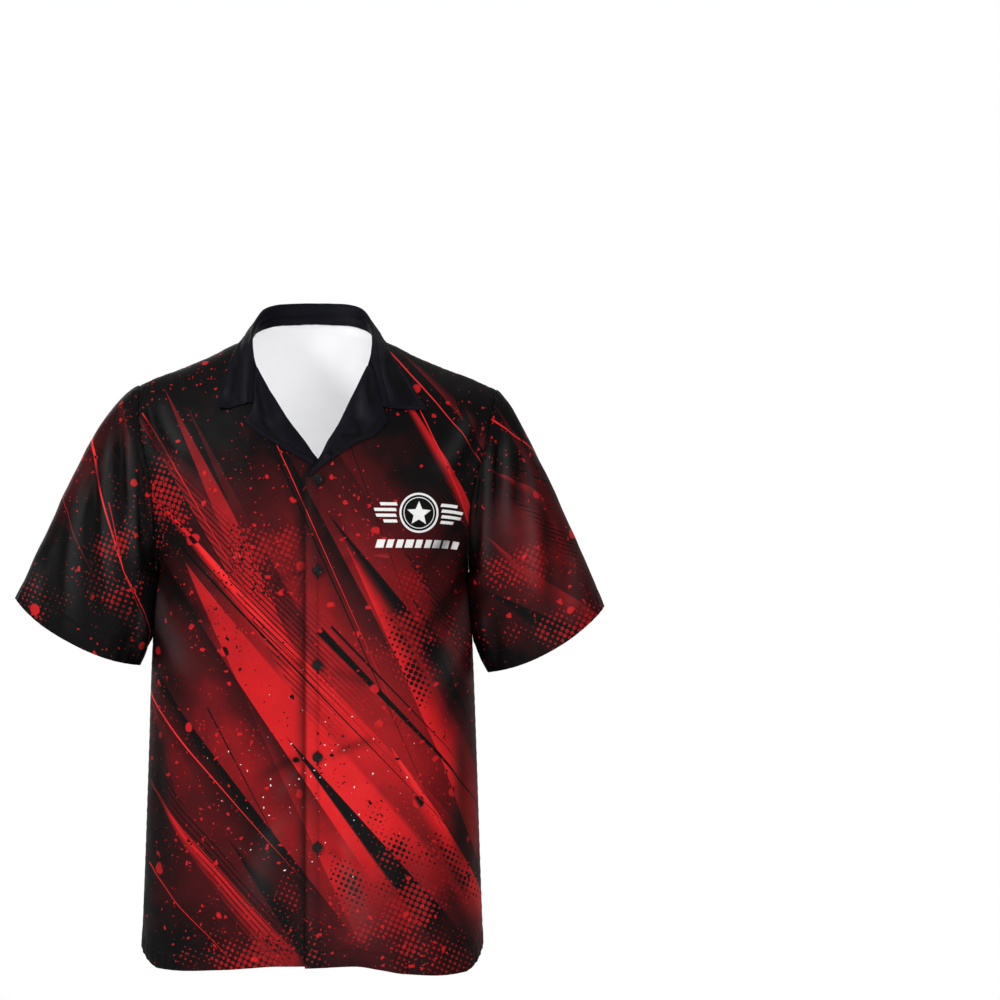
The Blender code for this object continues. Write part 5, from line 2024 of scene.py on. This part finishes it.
class ShirtDyes(bpy.types.PropertyGroup):
    """Colours of the cloth, the thread and the buttons."""

    black: dye("Black", "Darkest colour of the print", (0.0031, 0.0025, 0.0028))
    maroon: dye("Maroon", "Dark red of the print", (0.058, 0.0042, 0.0056))
    deep_red: dye("Deep red", "Middle red of the print", (0.270, 0.0075, 0.0100))
    red: dye("Red", "Main red of the print", (0.600, 0.0120, 0.0150))
    bright_red: dye("Bright red", "Brightest colour of the print", (0.830, 0.030, 0.030))
    white_side: dye("Wrong side", "Unprinted inside of the cloth", (0.92, 0.92, 0.93))
    badge: dye("Badge", "White of the badge and bars", (0.84, 0.84, 0.83))
    collar: dye("Collar", "Collar and lapels", (0.0034, 0.0034, 0.0066))
    thread: dye("Thread", "Hem stitches", (0.0120, 0.0060, 0.0066))
    collar_thread: dye("Collar thread", "Stitches of collar and lapels", (0.0070, 0.0070, 0.0120))
    buttonhole_thread: dye("Buttonhole thread", "Stitches of the buttonholes", (0.0080, 0.0060, 0.0066))
    button_thread: dye("Button thread", "Thread in the buttons' holes", (0.010, 0.010, 0.012))
    buttons: dye("Buttons", "Button resin", (0.0035, 0.0035, 0.0042))


class ShirtStudio(bpy.types.PropertyGroup):
    """Camera, lights and floor."""

    camera_distance: size("Camera distance", "From the camera to the shirt", 10.0)
    picture_width: size("Picture width", "Width seen at the shirt", 1.16)
    picture_x: size("Picture X", "Middle of the picture across", 0.218)
    picture_z: size("Picture Z", "Middle of the picture up", -0.180)
    picture_depth: size("Picture depth", "Plane at which the width is seen", -0.05)
    key_power: power("Key", "Main lamp, from the front left", 110.0)
    fill_power: power("Fill", "Lamp near the camera", 72.0)
    top_power: power("Top", "Lamp over the shirt", 16.0)
    rear_power: power("Rear", "Lamp behind the shirt", 16.0)
    neck_power: power("Neck", "Lamp inside, on the wrong side at the neck", 0.20)
    surround_light: amount("Surroundings", "Light from all round", 0.36)
    floor_level: size("Floor", "Height of the floor", -1.45)
    floor_size: size("Floor size", "Width of the floor", 20.0)
    floor_colour: dye("Floor colour", "Colour of the floor", (0.93, 0.93, 0.93))


class SHIRT_OT_back(bpy.types.Operator):
    """Makes the one-piece back with its hem"""

    bl_idname = "shirt.back"
    bl_label = "Back"

    def execute(self, context):
        make_back(context.scene.shirt_sizes, shirt_look(context.scene))
        return {"FINISHED"}


class SHIRT_OT_fronts(bpy.types.Operator):
    """Makes the two fronts with their hems and their overlap"""

    bl_idname = "shirt.fronts"
    bl_label = "Fronts"

    def execute(self, context):
        for side in SIGNS:
            make_front(side, context.scene.shirt_sizes, shirt_look(context.scene))
        return {"FINISHED"}


class SHIRT_OT_sleeves(bpy.types.Operator):
    """Makes the two short sleeves with their folds and hems"""

    bl_idname = "shirt.sleeves"
    bl_label = "Sleeves"

    def execute(self, context):
        for side in SIGNS:
            make_sleeve(side, context.scene.shirt_sizes, shirt_look(context.scene))
        return {"FINISHED"}


class SHIRT_OT_collar(bpy.types.Operator):
    """Makes the camp collar and the turned-back lapels"""

    bl_idname = "shirt.collar"
    bl_label = "Collar and lapels"

    def execute(self, context):
        sizes, look = context.scene.shirt_sizes, shirt_look(context.scene)
        make_collar(sizes, look)
        for side in SIGNS:
            make_lapel(side, sizes, look)
        return {"FINISHED"}


class SHIRT_OT_buttons(bpy.types.Operator):
    """Makes the five buttons with their thread and buttonholes"""

    bl_idname = "shirt.buttons"
    bl_label = "Buttons"

    def execute(self, context):
        sizes, look = context.scene.shirt_sizes, shirt_look(context.scene)
        for number, height in enumerate(BUTTON_HEIGHTS, 1):
            make_button(number, height, sizes, look)
            make_buttonhole(number, height, sizes, look)
        return {"FINISHED"}


class SHIRT_OT_studio(bpy.types.Operator):
    """Makes the floor, the soft lights and the camera"""

    bl_idname = "shirt.studio"
    bl_label = "Studio"

    def execute(self, context):
        make_studio(context.scene.shirt_studio)
        return {"FINISHED"}


class SHIRT_PT_panel(bpy.types.Panel):
    """Lists the shirt's tools and settings"""

    bl_idname = "SHIRT_PT_panel"
    bl_label = "Bowling shirt"
    bl_space_type = "VIEW_3D"
    bl_region_type = "UI"
    bl_category = "Shirt"

    def draw(self, context):
        for operator in OPERATORS:
            self.layout.operator(operator.bl_idname)
        for group in (context.scene.shirt_sizes, context.scene.shirt_dyes, context.scene.shirt_studio):
            box = self.layout.box()
            for name in group.__annotations__:
                box.prop(group, name)


OPERATORS = (
    SHIRT_OT_back,
    SHIRT_OT_fronts,
    SHIRT_OT_sleeves,
    SHIRT_OT_collar,
    SHIRT_OT_buttons,
    SHIRT_OT_studio,
)
CLASSES = (ShirtSizes, ShirtDyes, ShirtStudio, *OPERATORS, SHIRT_PT_panel)


def register():
    for item in CLASSES:
        bpy.utils.register_class(item)
    bpy.types.Scene.shirt_sizes = PointerProperty(type=ShirtSizes)
    bpy.types.Scene.shirt_dyes = PointerProperty(type=ShirtDyes)
    bpy.types.Scene.shirt_studio = PointerProperty(type=ShirtStudio)


def unregister():
    del bpy.types.Scene.shirt_studio
    del bpy.types.Scene.shirt_dyes
    del bpy.types.Scene.shirt_sizes
    for item in reversed(CLASSES):
        bpy.utils.unregister_class(item)


def main():
    register()
    for operator in (
        bpy.ops.shirt.back,
        bpy.ops.shirt.fronts,
        bpy.ops.shirt.sleeves,
        bpy.ops.shirt.collar,
        bpy.ops.shirt.buttons,
        bpy.ops.shirt.studio,
    ):
        operator()


if __name__ == "__main__":
    main()
